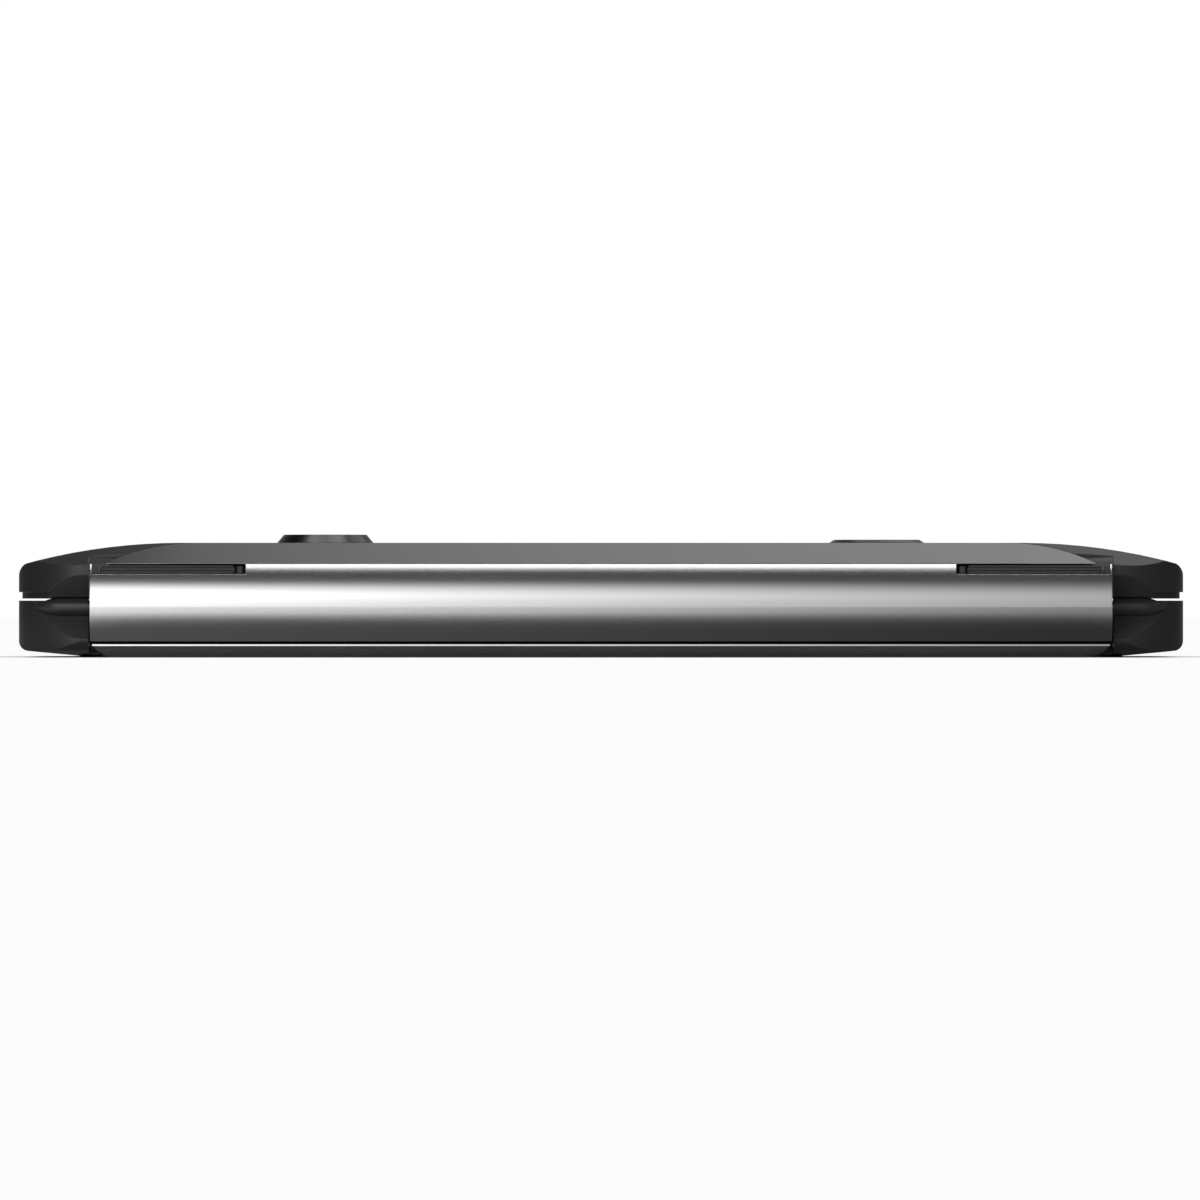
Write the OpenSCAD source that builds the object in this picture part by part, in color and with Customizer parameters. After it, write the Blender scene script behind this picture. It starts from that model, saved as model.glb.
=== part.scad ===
// Clamshell pocket computer, closed: a keyboard base and a display lid joined by a full-width metal spine.
// X runs along the hinge, +Y points to the hinge side, Z is up and zero is the table.

/* [Case] */
// Length of the device along the hinge
body_w = 171.4; // [166:0.1:180]
// Depth from the front face to the back of the spine
body_d = 79.3; // [78:0.1:86]
// Height of the base's rim above the table
base_h = 8.35; // [8.3:0.05:9.5]
// Height of the lid from its underside to the flat of its cover plate
lid_h = 8.2; // [8.1:0.05:9.5]
// Air gap between the closed lid and the base
lid_gap = 0.3; // [0.2:0.05:0.5]
// Corner radius of the end caps seen from above
corner_r = 9.5; // [8:0.5:12]
// Wall thickness of the moulded housings
wall = 1.8; // [1.6:0.1:2]
// Thickness of the walls at the case's rounded corners
corner_wall = 1.6; // [1.4:0.1:1.7]
// Thickness of the moulded skin under the cover plate
skin_t = 1; // [0.8:0.1:1.2]
// Thickness of the metal plates
plate_t = 0.8; // [0.7:0.05:0.9]
// Wall thickness at the housings' ends
end_wall = 2.2; // [2:0.1:2.4]
// Clearance of a plate or panel in its pocket
seat_gap = 0.1; // [0.05:0.05:0.15]
// Height of the rubber foot pads below the bottom plate
foot_h = 0.2; // [0.15:0.05:0.4]
// Radius between the base's sides and its underside
under_r = 1.6; // [1.4:0.1:1.8]
// Height that the underside rises towards each edge
under_rise = 0.75; // [0.5:0.05:0.9]
// Length over which it rises
under_run = 9.2; // [8.5:0.1:10]

/* [Lid form] */
// Angle of the sloping bands along the front and rear of the lid
facet_angle = 26; // [24:1:30]
// Height that each sloping band falls from the flat top
facet_drop = 3.05; // [2.8:0.05:3.2]
// Length at each end over which the lid's top curves down
crown_run = 23.9; // [20:0.1:28]
// Radius of that curve
crown_r = 86; // [80:1:100]
// Length at each end over which the sloping bands curve down
band_run = 25.7; // [24.5:0.1:30]
// Radius of the curve on the sloping bands
band_crown_r = 210; // [190:5:250]
// Radius between the lid's top and its ends
shoulder_r = 2.2; // [1.8:0.1:2.4]
// Height of the set-back lip around the lid's underside
lip_h = 0.95; // [0.8:0.05:1.1]
// Set-back of that lip
lip_in = 0.5; // [0.3:0.05:0.7]
// Distance from each end of the lid to where the cover plate starts to sweep out
plate_end = 31.7; // [30:0.1:35]
// Distance that the plate sweeps out beyond that along its edges
sweep_run = 14.5; // [12:0.5:16]
// Radius of the end cap's corner beside the sweep
sweep_corner_r = 5; // [4:0.5:6]

/* [Hinge] */
// Width of each end cap beside the metal spine
cap_w = 10.75; // [10.5:0.05:12]
// Radius of the spine's lower half about the hinge axis
spine_r = 6.2; // [6.1:0.05:6.3]
// Radius of the spine's upper half
spine_top_r = 8.93; // [8.8:0.01:9.2]
// Height of the spine's top edge above the hinge axis
spine_up = 6.3; // [6.2:0.05:6.5]
// Angle that the spine's lower lip reaches below level
lip_angle = 54; // [50:1:56]
// Wall of the spine extrusion
spine_t = 1; // [0.9:0.05:1.1]
// Depth of the hinge axis below the base's rim
axis_drop = 0.95; // [0.9:0.05:1]
// Distance that the end caps reach behind the hinge axis
cap_back = 2.55; // [2.3:0.05:2.7]
// Angle that the lid opens to
open_angle = 120; // [115:1:122]
// Clearance between the end caps' stop faces at each limit, per face
stop_gap = 0.15; // [0.1:0.05:0.2]
// Clearance beside the spine in its slot
slot_gap = 0.25; // [0.2:0.05:0.3]
// Radius of the hinge pins
pin_r = 0.7; // [0.65:0.05:0.75]
// Running clearance of the pins in their bushes
pin_gap = 0.04; // [0.02:0.01:0.06]
// Radius of the hinge pods
pod_r = 1.4; // [1.35:0.05:1.5]
// Length of the hinge pods
pod_l = 7.9; // [7.5:0.1:8.3]
// Length of a pod's tapered end
pod_tip = 3.65; // [3.2:0.05:4]
// Length cut off a pod's point to blunt it
pod_blunt = 0.15; // [0.1:0.05:0.3]
// Thickness of the spine's end plugs
plug_t = 3.7; // [3.3:0.1:4]
// Length of the rubber foot strips
strip_l = 21.6; // [18:0.1:24]
// Width of their recess in the spine's top edge
strip_h = 1.5; // [1.3:0.05:1.6]

/* [Keyboard] */
// Gap between neighbouring keys
key_gap = 1; // [0.8:0.1:1.4]
// Thickness of a key cap
key_t = 1.1; // [1:0.05:1.3]
// Travel of a key
key_travel = 0.9; // [0.8:0.05:0.95]
// Distance of the key tops below the base's rim
key_sink = 0.15; // [0.1:0.05:0.2]
// Corner radius of a key
key_r = 1.2; // [0.8:0.1:1.6]
// Radius of a key's guide stem
stem_r = 1; // [0.9:0.05:1.1]
// Clearance of the stem in its guide hole
stem_gap = 0.1; // [0.08:0.02:0.14]
// Thickness of the steel backplate under the keys
back_t = 0.5; // [0.45:0.05:0.55]
// Thickness of the rubber dome sheet
dome_t = 0.3; // [0.25:0.05:0.35]
// Thickness of the keyboard frame around the keys
frame_t = 1.25; // [1.2:0.05:1.3]
// Width of the keyboard frame beside the keys
frame_edge = 2.6; // [2.2:0.1:3]
// Width of the keyboard frame in front of the keys
frame_front = 1.2; // [1:0.1:1.6]
// Width of the base housing's rim around the keyboard frame
rim_w = 2.25; // [2.1:0.05:2.5]
// Width of the case left round the keyboard frame's front corners
rim_corner = 1.1; // [1:0.1:1.3]

/* [Display] */
// Width of the lid's frame at each end of the display glass
glass_edge = 7.7; // [7.5:0.1:9]
// Thickness of the display glass
glass_t = 0.8; // [0.7:0.05:0.9]
// Width of the black border between the glass's end and the panel
panel_edge = 8.5; // [8.3:0.1:10]
// Thickness of the display panel
panel_t = 1.5; // [1.4:0.05:1.6]
// Thickness of the frame that stiffens the display
midframe_t = 0.8; // [0.7:0.05:0.9]
// Gap between the cover display's window and the camera or the button
cover_gap = 5.85; // [5:0.05:8]
// Depth of the cover display's window
cover_d = 26; // [22:1:30]
// Thickness of the cover display's glass
cover_t = 0.7; // [0.6:0.05:0.75]

/* [Lid fittings] */
// Distance from the cover plate's straight end to the middle of the camera or of the button
pod_in = 13; // [11:0.5:16]
// Radius of the camera pod
camera_r = 7.15; // [6.8:0.05:7.4]
// Height of the camera pod above the cover plate
camera_up = 1.3; // [1.1:0.05:1.5]
// Run of the pod's sloping side
camera_slope = 1; // [0.6:0.1:1.2]
// Radius of the camera's window
window_r = 4.55; // [4.2:0.05:4.8]
// Radius of the round button
button_r = 7.05; // [6.8:0.05:7.2]
// Height of the round button above the cover plate
button_up = 0.55; // [0.45:0.05:0.7]
// Run of the button's sloping side
button_slope = 0.7; // [0.4:0.1:1]
// Travel of the round button
button_travel = 0.3; // [0.2:0.05:0.3]
// Length of the side button
side_l = 14; // [12:0.5:16]
// Height of the side button
side_h = 1.9; // [1.6:0.1:2]
// Travel of the side button
side_travel = 0.4; // [0.3:0.05:0.4]
// Width of the card tray
tray_w = 14; // [13:0.5:15]
// Length of the card tray
tray_l = 14.4; // [13.5:0.1:14.8]
// Distance from the front face to the middle of the side button and of the card tray
side_in = 31.65; // [30:0.05:35]

/* [Base fittings] */
// Thickness of the battery pack
battery_t = 3; // [2.8:0.05:3.05]
// Length of the bay at each end of the base for the ports and the speaker
bay_l = 24.2; // [23.5:0.1:25]
// Thickness of the circuit boards
board_t = 0.75; // [0.7:0.05:0.85]
// Width of a USB port's shell
usb_w = 8.94; // [8.9:0.02:9]
// Height of a USB port's shell
usb_h = 3.26; // [3.2:0.02:3.3]
// Depth of a USB port's shell
usb_l = 7.3; // [7:0.1:7.5]
// Radius of the audio jack's bore
jack_bore_r = 1.78; // [1.76:0.01:1.8]
// Outer radius of the audio jack
jack_r = 2.1; // [2.05:0.05:2.15]
// Length of the audio jack
jack_l = 14; // [13.5:0.1:14.5]
// Radius of a screw's head
screw_head_r = 1.5; // [1.3:0.05:1.6]
// Radius of a screw's shank
screw_r = 0.7; // [0.6:0.05:0.8]

/* [Hidden] */
$fn = 96;
// Rows of keys, which are one sub-part each, and columns
key_rows = 5;
key_cols = 12;

// Clearance of a fixed piece in its seat, of an insert in its opening and between loose inner pieces
fit_gap = 0.02;
insert_gap = 0.05;
inner_gap = 0.3;
// Reach of a cut past the face that it opens, and a length past everything
over = 1;
far = 100;

// Overall places
half_w = body_w / 2;
front_y = -body_d / 2;
axis_y = body_d / 2 - spine_r;
axis_z = base_h - axis_drop;
cap_y = axis_y + cap_back;
lid_z = base_h + lid_gap;
lid_top = lid_z + lid_h;
floor_z = foot_h + plate_t;
inner_half = half_w - end_wall;
inner_front = front_y + wall;

// Hinge
spine_half = half_w - cap_w;
end_x = spine_half + slot_gap;
spine_top_y = spine_r - spine_top_r;
slot_r = spine_r + slot_gap;
liner_t = 0.75;
liner_r = slot_r + liner_t;
beam_gap = 0.4;
beam_r = spine_r - spine_t - beam_gap;
beam_bore_r = 1.2;
beam_bore_y = 2.4;
beam_bore_z = 2.2;
nose_r = axis_drop;
plug_r = 1.7;
plug_x = spine_half - insert_gap - plug_t;
plug_set_back = 8;
plug_angle = lip_angle - plug_set_back;
bush_wall = 0.35;
bush_r = pin_r + bush_wall;
bush_x = end_x + 0.8;
bush_l = 3;
bush_arm = 5.6;
pin_end = end_x + pod_l - pod_tip + 1.2;
pin_room = 0.2;
stop_tilt = 90 - open_angle / 2;
pod_gap = 0.2;
strip_proud = 0.15;
strip_x1 = spine_half - slot_gap;
strip_x0 = strip_x1 - strip_l - 1;
strip_end = 0.5;

// Bottom plate
flange_drop = 5.4;
flange_gap = 0.15;
flange_end_gap = 0.2;
flange_top = axis_z - flange_drop;
flange_r = flange_top - foot_h;
mouth = sqrt(pow(slot_r, 2) - pow(flange_drop, 2));
flange_y = axis_y - mouth - flange_gap;
flange_half = end_x - flange_end_gap;
plate_low_half = flange_half - 2.2;
plate_mid_half = flange_half - plate_t;
plate_front = front_y + 3;
plate_corner_r = 2;
pad_w = 3.4;
pad_l = 14;
pad_x = plate_low_half + 2.3;
pad_y = [front_y + 12, axis_y - liner_r - 4];

// Lid
crown_half = half_w - crown_run;
band_half = half_w - band_run;
plate_half = half_w - plate_end;
plate_back = axis_y + 3.5;
facet_run = facet_drop / tan(facet_angle);
facet_back = plate_back - facet_run;
facet_front = front_y + facet_run;
plate_low = lid_top - facet_drop - insert_gap;
sweep_r = (pow(sweep_run, 2) + pow(facet_run, 2)) / (2 * facet_run);
lid_back = axis_y - 2.25;
lid_floor = lid_z + glass_t;
glass_half = half_w - glass_edge;
panel_half = glass_half - panel_edge;
glass_front = inner_front - 0.2;
glass_back = axis_y - 1.65;
panel_top = lid_floor + panel_t;
midframe_top = panel_top + midframe_t;
lid_board_top = midframe_top + board_t;
skin_under = plate_t + skin_t;
skin_z = lid_top - skin_under;
pods_y = (facet_back + facet_front) / 2;
pod_x = plate_half - pod_in;
cover_w = 2 * (pod_x - camera_r - cover_gap);
pod_side = 0.1;
board_reach = 16;
board_edge = pods_y + board_reach;
board_set_back = 4;
midframe_inset = 2;
board_inset = 5.5;
motor_r = 5;
motor_t = 2.7;
can_l = 20;
can_w = 17;
can_t = 1.3;
can_in_left = 11.5;
can_in_right = 9.5;
can_middle = 14;
can_front = 22;
can_back = 4;
can_x = [
    can_in_left + can_l / 2 - inner_half, -can_middle, can_middle, inner_half - can_in_right - can_l / 2,
];
can_y = [pods_y - can_front, pods_y + can_back];

// Fittings on the lid's top and ends
window_gap = 0.05;
camera_stem_r = camera_r - 0.9;
camera_base = 2.2;
camera_w = 10;
flash_y = pods_y - 13;
flash_r = 2.2;
cover_r = 1.95;
cover_ledge = 1.5;
button_stem_r = 1.5;
switch_h = 1.9;
switch_w = 5;
side_switch_t = 2.5;
side_y = front_y + side_in;
side_flange_t = 0.8;
side_z = lid_floor + panel_t / 2;
side_gap = 0.15;
flange_lip = 0.25;
button_z = lid_z + lip_h + side_h / 2 + flange_lip;
tray_h = 1.2;
tray_lip = 0.5;
tray_leaf = 0.8;
tray_z = side_z + 0.1;
slot_wall = 0.5;
lens_drop = 0.2;

// Base
base_back = axis_y - liner_r;
well_half = half_w - rim_w - frame_edge;
well_front = front_y + rim_w + frame_front;
well_back = base_back - 0.95;
pitch_x = 2 * well_half / key_cols;
pitch_y = (well_back - well_front) / key_rows;
key_top = base_h - key_sink;
key_low = key_top - key_t;
press_gap = 0.2;
dome_top = key_low - key_travel - press_gap;
dome_z = dome_top - dome_t;
back_z = dome_z - back_t;
stem_z = back_z + insert_gap;
frame_z = base_h - frame_t;
frame_half = half_w - rim_w;
frame_back = base_back + 1.25;
space_first = floor(key_cols / 4);
space_last = space_first + 4;
sheet_half = inner_half - board_inset;

// Pieces inside the base
board_z = floor_z + 0.9;
board_top = board_z + board_t;
board_half = half_w - bay_l;
battery_half = board_half - 2.5;
board_front = inner_front + 4.8;
board_back = base_back - 3;
ledge = 1;
battery_side_gap = 0.5;
usb_wall = 0.3;
usb_face = half_w - 0.3;
usb_in = 40.75;
usb_y = front_y + usb_in;
usb_z = board_top + usb_h / 2 + fit_gap;
tongue_w = 6.6;
tongue_t = 0.7;
jack_z = dome_top + seat_gap - jack_r;
jack_y = well_back - 3 * pitch_y;
jack_x = half_w - 0.2 - jack_l;
jack_end = 0.7;
grille_in = 13.65;
grille_y = front_y + grille_in;
grille_z = foot_h + 4;
grille_l = 12;
grille_h = 2.4;
grille_t = 0.6;
grille_sink = 0.5;
grille_holes = 8;
grille_pitch = 1.3;
grille_hole_r = 0.45;
speaker_l = 16.8;
speaker_w = 14;
speaker_t = 1.4;
screw_x = [2 * pitch_x, 4 * pitch_x];
screw_head_t = 0.45;
socket_r = 0.7;
socket_t = 0.3;
boss_r = 2.2;
screw_front = front_y + under_run + screw_head_r + inner_gap;
screw_back = base_back - boss_r + 0.55;
rib_t = 1.2;
battery_front = screw_front + boss_r + battery_side_gap;
magnet_w = 2.4;
magnet_l = 8;
magnet_t = 1.4;
magnet_y = inner_front + 6;

// Draws its children at the right end, or mirrored at the left end
module at_end(right) {
    if (right) children();
    else mirror([1, 0, 0]) children();
}

// A profile drawn as depth and height, extruded along the device from x0 to x1
module along_x(x0, x1) {
    translate([x0, 0, 0]) rotate([90, 0, 90]) linear_extrude(x1 - x0) children();
}

// A profile drawn as length and height, extruded through the depth
module along_y() {
    rotate([90, 0, 0]) linear_extrude(2 * far, center = true) children();
}

// A profile drawn about the hinge axis
module about_axis() {
    translate([axis_y, axis_z]) children();
}

module rounded_rect(w, d, r) {
    square([w - 2 * r, d], center = true);
    square([w, d - 2 * r], center = true);
    for (x = [-1, 1], y = [-1, 1]) translate([x * (w / 2 - r), y * (d / 2 - r)]) circle(r);
}

module slab(x0, x1, y0, y1, z0, z1) {
    translate([x0, y0, z0]) cube([x1 - x0, y1 - y0, z1 - z0]);
}

module middle_slab(half, y0, y1, z0, z1) {
    slab(-half, half, y0, y1, z0, z1);
}

// A slab whose corners stay inside the case's rounded outline, set in by inset
module cased_slab(inset, half, y0, y1, z0, z1) {
    intersection() {
        middle_slab(half, y0, y1, z0, z1);
        translate([0, 0, z0]) linear_extrude(z1 - z0) case_plan(inset);
    }
}

module post(x, y, z0, z1, r) {
    translate([x, y, z0]) cylinder(r = r, h = z1 - z0);
}

// A round bar about the hinge axis
module axis_bar(x0, x1, r) {
    translate([x0, axis_y, axis_z]) rotate([0, 90, 0]) cylinder(r = r, h = x1 - x0);
}

// Outline of the end caps from above, set in by inset
module case_plan(inset) {
    depth = cap_y - front_y;
    translate([0, (cap_y + front_y) / 2])
        rounded_rect(body_w - 2 * inset, depth - 2 * inset, corner_r - inset);
}

// Underside profile of the base between two edges
module under_profile(low, high) {
    polygon([
        [low + under_run, foot_h], [high - under_run, foot_h],
        [high - under_r, foot_h + under_rise], [high - under_r, base_h],
        [low + under_r, base_h], [low + under_r, foot_h + under_rise],
    ]);
    for (x = [low + under_r, high - under_r]) {
        translate([x, foot_h + under_rise + under_r]) circle(under_r);
    }
    translate([low, foot_h + under_rise + under_r]) {
        square([high - low, base_h - foot_h - under_rise - under_r]);
    }
}

module base_form() {
    intersection() {
        linear_extrude(base_h) case_plan(0);
        along_y() under_profile(-half_w, half_w);
        along_x(-far, far) under_profile(front_y, cap_y);
    }
}

// Space behind each end's stop plane, for the base (tilt up) or the lid (tilt down)
module stop_space(tilt) {
    for (right = [true, false]) at_end(right) {
        translate([end_x, axis_y, axis_z]) rotate([tilt, 0, 0]) slab(0, far, -stop_gap, far, -far, far);
    }
}

// Solid bullet of a hinge pod, grown by extra
module pod_form(extra) {
    tip = pod_tip + extra;
    r = pod_r + extra;
    ogive = (pow(tip, 2) + pow(r, 2)) / (2 * r);
    straight = pod_l - pod_tip;
    translate([end_x, axis_y, axis_z]) rotate([0, 90, 0]) {
        cylinder(r = r, h = straight);
        translate([0, 0, straight]) rotate_extrude() intersection() {
            square([r, tip - pod_blunt]);
            translate([r - ogive, 0]) circle(ogive);
        }
    }
}

module bush_arm_form(extra) {
    slab(bush_x - extra, bush_x + bush_l + extra, axis_y - bush_arm - extra, axis_y - pin_r - pin_gap,
        axis_z - bush_wall - extra, axis_z + bush_wall + extra);
}

// Bottom plate's outline in depth and height
module plate_profile() {
    intersection() {
        difference() {
            under_profile(front_y, far);
            translate([0, plate_t]) under_profile(front_y, far);
        }
        translate([plate_front, 0]) square([flange_y - flange_r - plate_front, floor_z + under_rise]);
    }
    translate([flange_y - flange_r, flange_top]) difference() {
        intersection() {
            circle(flange_r);
            translate([0, -flange_r]) square(flange_r);
        }
        circle(flange_r - plate_t);
    }
}

// Bottom plate's ends in length and height, grown by extra
module plate_ends(extra) {
    low = plate_low_half + extra;
    mid = plate_mid_half + extra;
    high = flange_half + extra;
    polygon([
        [-low, foot_h], [low, foot_h], [mid, floor_z], [high, flange_top], [high, base_h],
        [-high, base_h], [-high, flange_top], [-mid, floor_z],
    ]);
}

// Places of the screws that hold the bottom plate
module at_screws() {
    for (x = screw_x, s = [-1, 1], y = [screw_front, screw_back]) translate([s * x, y, 0]) children();
}

module usb_profile(extra) {
    translate([usb_y, usb_z]) rounded_rect(usb_w + 2 * extra, usb_h + 2 * extra, usb_h / 2 + extra - 0.01);
}

module grille_profile(extra) {
    translate([grille_y, grille_z])
        rounded_rect(grille_l + 2 * extra, grille_h + 2 * extra, grille_h / 2 + extra - 0.01);
}

module jack_bar(x0, x1, r) {
    translate([x0, jack_y, jack_z]) rotate([0, 90, 0]) cylinder(r = r, h = x1 - x0);
}

module base_housing() color([0.07, 0.07, 0.075]) {
    difference() {
        base_form();
        stop_space(stop_tilt);
        // Space of the spine and the plugs
        axis_bar(-end_x, end_x, slot_r);
        middle_slab(end_x, axis_y - mouth, far, 0, far);
        // Seat of the keyboard frame
        cased_slab(rim_corner, frame_half, front_y + rim_w, frame_back, frame_z, far);
        middle_slab(end_x - insert_gap, frame_back - over, axis_y, frame_z, far);
        difference() {
            cased_slab(corner_wall, inner_half, inner_front, base_back, floor_z, far);
            for (right = [true, false]) at_end(right) {
                slab(inner_half - ledge, inner_half, board_front, board_back, floor_z, board_z);
            }
            at_screws() cylinder(r = boss_r, h = back_z);
            for (s = [-1, 1], x = screw_x) {
                slab(s * x - rib_t / 2, s * x + rib_t / 2, inner_front, screw_front, floor_z, back_z);
            }
        }
        // Opening for the bottom plate, with its rising front edge
        intersection() {
            along_y() plate_ends(seat_gap);
            along_x(-far, far) difference() {
                translate([plate_front - seat_gap, 0]) square([axis_y - plate_front, floor_z + under_rise]);
                translate([0, plate_t + fit_gap]) under_profile(front_y, far);
            }
        }
        middle_slab(end_x, flange_y - flange_r, axis_y, 0, flange_top + insert_gap);
        at_screws() cylinder(r = screw_r + fit_gap, h = back_z - back_t);
        for (right = [true, false]) at_end(right) {
            pod_form(fit_gap);
            bush_arm_form(fit_gap);
            along_x(inner_half - over, half_w + over) usb_profile(insert_gap);
            along_x(inner_half - over, half_w + over) grille_profile(insert_gap);
        }
        jack_bar(inner_half - over, half_w + over, jack_r + fit_gap);
    }
}

module base_plate() color([0.45, 0.45, 0.46]) {
    difference() {
        intersection() {
            along_x(-far, far) plate_profile();
            along_y() plate_ends(0);
            translate([0, (plate_front + axis_y) / 2, 0]) linear_extrude(base_h)
                rounded_rect(2 * flange_half, axis_y - plate_front, plate_corner_r);
        }
        at_screws() cylinder(r = screw_r + seat_gap, h = base_h);
        at_screws() cylinder(r = screw_head_r + insert_gap, h = foot_h + screw_head_t);
    }
}

module foot_pads() color([0.12, 0.12, 0.12]) {
    for (s = [-1, 1], y = pad_y) {
        translate([s * pad_x, y, 0]) linear_extrude(foot_h) rounded_rect(pad_w, pad_l, pad_w / 2 - 0.01);
    }
}

module base_screws() color([0.3, 0.3, 0.31]) {
    at_screws() {
        difference() {
            translate([0, 0, foot_h + fit_gap]) cylinder(r = screw_head_r, h = screw_head_t - fit_gap);
            translate([0, 0, foot_h]) cylinder(r = socket_r, h = socket_t, $fn = 6);
        }
        translate([0, 0, foot_h + screw_head_t]) {
            cylinder(r = screw_r, h = back_z - back_t - screw_head_t - foot_h - inner_gap);
        }
    }
}

module keyboard_frame() color([0.1, 0.1, 0.105]) {
    difference() {
        union() {
            cased_slab(rim_corner + seat_gap, frame_half - seat_gap, front_y + rim_w + seat_gap,
                frame_back - seat_gap, frame_z, base_h);
            middle_slab(end_x - insert_gap - seat_gap, frame_back - over, axis_y, frame_z, base_h);
            axis_bar(-plug_x + slot_gap, plug_x - slot_gap, nose_r);
        }
        middle_slab(well_half, well_front, well_back, 0, far);
        for (right = [true, false]) at_end(right) {
            slab(plug_x - slot_gap, far, axis_y - plug_r, far, 0, far);
            axis_bar(plug_x - slot_gap, end_x, plug_r + slot_gap);
        }
    }
}

// Outline of the sheets under the keys
module sheet_plan() {
    difference() {
        translate([-sheet_half, inner_front + inner_gap]) {
            square([2 * sheet_half, base_back - inner_front - 2 * inner_gap]);
        }
        translate([jack_x - inner_gap, jack_y - jack_r - inner_gap]) square([far, 2 * (jack_r + inner_gap)]);
        for (j = [0 : key_rows - 1], i = [0 : key_cols - 1]) {
            if (has_stem(i, j)) translate([key_x(i), key_y(j)]) circle(stem_r + stem_gap);
        }
    }
}

module keyboard_backplate() color([0.6, 0.6, 0.62]) {
    translate([0, 0, back_z]) linear_extrude(back_t) sheet_plan();
}

module dome_sheet() color([0.05, 0.05, 0.055]) {
    translate([0, 0, dome_z]) linear_extrude(dome_t) sheet_plan();
}

function key_x(i) = (i - (key_cols - 1) / 2) * pitch_x;
function key_y(j) = well_back - (j + 0.5) * pitch_y;
function has_stem(i, j) = j < key_rows - 1 || i <= space_first || i >= space_last;

// One key that spans columns i0 to i1 of row j
module key(i0, i1, j) {
    width = (i1 - i0 + 1) * pitch_x - key_gap;
    translate([(key_x(i0) + key_x(i1)) / 2, key_y(j), key_low]) linear_extrude(key_t)
        rounded_rect(width, pitch_y - key_gap, key_r);
    for (i = i0 == i1 ? [i0] : [i0, i1]) post(key_x(i), key_y(j), stem_z, key_low, stem_r);
}

module key_row(j, first, last) {
    for (i = [first : last]) key(i, i, j);
}

module number_keys() color([0.09, 0.09, 0.095]) key_row(0, 0, key_cols - 1);

module upper_letter_keys() color([0.09, 0.09, 0.095]) key_row(1, 0, key_cols - 1);

module middle_letter_keys() color([0.09, 0.09, 0.095]) key_row(2, 0, key_cols - 2);

module enter_key() color([0.09, 0.09, 0.095]) key_row(2, key_cols - 1, key_cols - 1);

module lower_letter_keys() color([0.09, 0.09, 0.095]) key_row(3, 0, key_cols - 1);

module bottom_keys() color([0.09, 0.09, 0.095]) {
    key_row(key_rows - 1, 0, space_first - 1);
    key_row(key_rows - 1, space_last + 1, key_cols - 1);
}

module space_bar() color([0.09, 0.09, 0.095]) key(space_first, space_last, key_rows - 1);

module battery_pack() color([0.2, 0.2, 0.22]) {
    back = screw_back - boss_r - battery_side_gap;
    translate([0, (battery_front + back) / 2, floor_z + seat_gap]) linear_extrude(battery_t)
        rounded_rect(2 * battery_half, back - battery_front, 1.5);
}

module jack_space(r) {
    slab(jack_x - inner_gap, far, jack_y - r, jack_y + r, 0, far);
}

module port_board(right) {
    at_end(right) difference() {
        slab(board_half, inner_half - seat_gap, board_front, board_back, board_z, board_top);
        if (right) jack_space(jack_r + inner_gap);
        for (y = [screw_front, screw_back]) post(screw_x[1], y, 0, back_z, boss_r + inner_gap);
    }
}

module port_board_left() color([0.06, 0.22, 0.14]) port_board(false);

module port_board_right() color([0.06, 0.22, 0.14]) port_board(true);

module usb_port(right) {
    back = usb_face - usb_l;
    at_end(right) {
        difference() {
            along_x(back, usb_face) usb_profile(0);
            along_x(back + 2 * usb_wall, half_w) usb_profile(-usb_wall);
        }
        slab(back + usb_wall, usb_face - 0.9, usb_y - tongue_w / 2, usb_y + tongue_w / 2,
            usb_z - tongue_t / 2, usb_z + tongue_t / 2);
    }
}

module usb_port_left() color([0.7, 0.7, 0.72]) usb_port(false);

module usb_port_right() color([0.7, 0.7, 0.72]) usb_port(true);

module audio_jack() color([0.15, 0.15, 0.16]) {
    difference() {
        jack_bar(jack_x, jack_x + jack_l, jack_r);
        jack_bar(jack_x + jack_end, half_w + over, jack_bore_r);
    }
}

module speaker(right) {
    x = inner_half - 2 * seat_gap;
    at_end(right) slab(x - speaker_l, x, grille_y - speaker_w / 2, grille_y + speaker_w / 2,
        board_top, board_top + speaker_t);
}

module speaker_left() color([0.13, 0.13, 0.14]) speaker(false);

module speaker_right() color([0.13, 0.13, 0.14]) speaker(true);

module speaker_grille(right) {
    face = half_w - grille_sink;
    at_end(right) difference() {
        along_x(face - grille_t, face) grille_profile(0);
        for (i = [0 : grille_holes - 1]) {
            y = grille_y + (i - (grille_holes - 1) / 2) * grille_pitch;
            translate([face - grille_t - over, y, grille_z]) rotate([0, 90, 0]) {
                cylinder(r = grille_hole_r, h = grille_t + 2 * over);
            }
        }
    }
}

module speaker_grille_left() color([0.2, 0.2, 0.2]) speaker_grille(false);

module speaker_grille_right() color([0.2, 0.2, 0.2]) speaker_grille(true);

module hinge_beam() color([0.5, 0.5, 0.52]) {
    along_x(-plug_x + slot_gap, plug_x - slot_gap) about_axis() difference() {
        intersection() {
            circle(beam_r);
            translate([-far, -far]) square([2 * far, far + axis_drop - frame_t]);
            rotate(-stop_tilt) translate([-far, -far]) square([far, 2 * far]);
        }
        circle(nose_r + fit_gap);
        translate([-beam_bore_y, -beam_bore_z]) circle(beam_bore_r);
    }
}

module hinge_bush(right) {
    at_end(right) difference() {
        union() {
            axis_bar(bush_x, bush_x + bush_l, bush_r);
            bush_arm_form(0);
        }
        axis_bar(bush_x - over, bush_x + bush_l + over, pin_r + pin_gap);
    }
}

module hinge_bush_left() color([0.6, 0.58, 0.5]) hinge_bush(false);

module hinge_bush_right() color([0.6, 0.58, 0.5]) hinge_bush(true);

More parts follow.
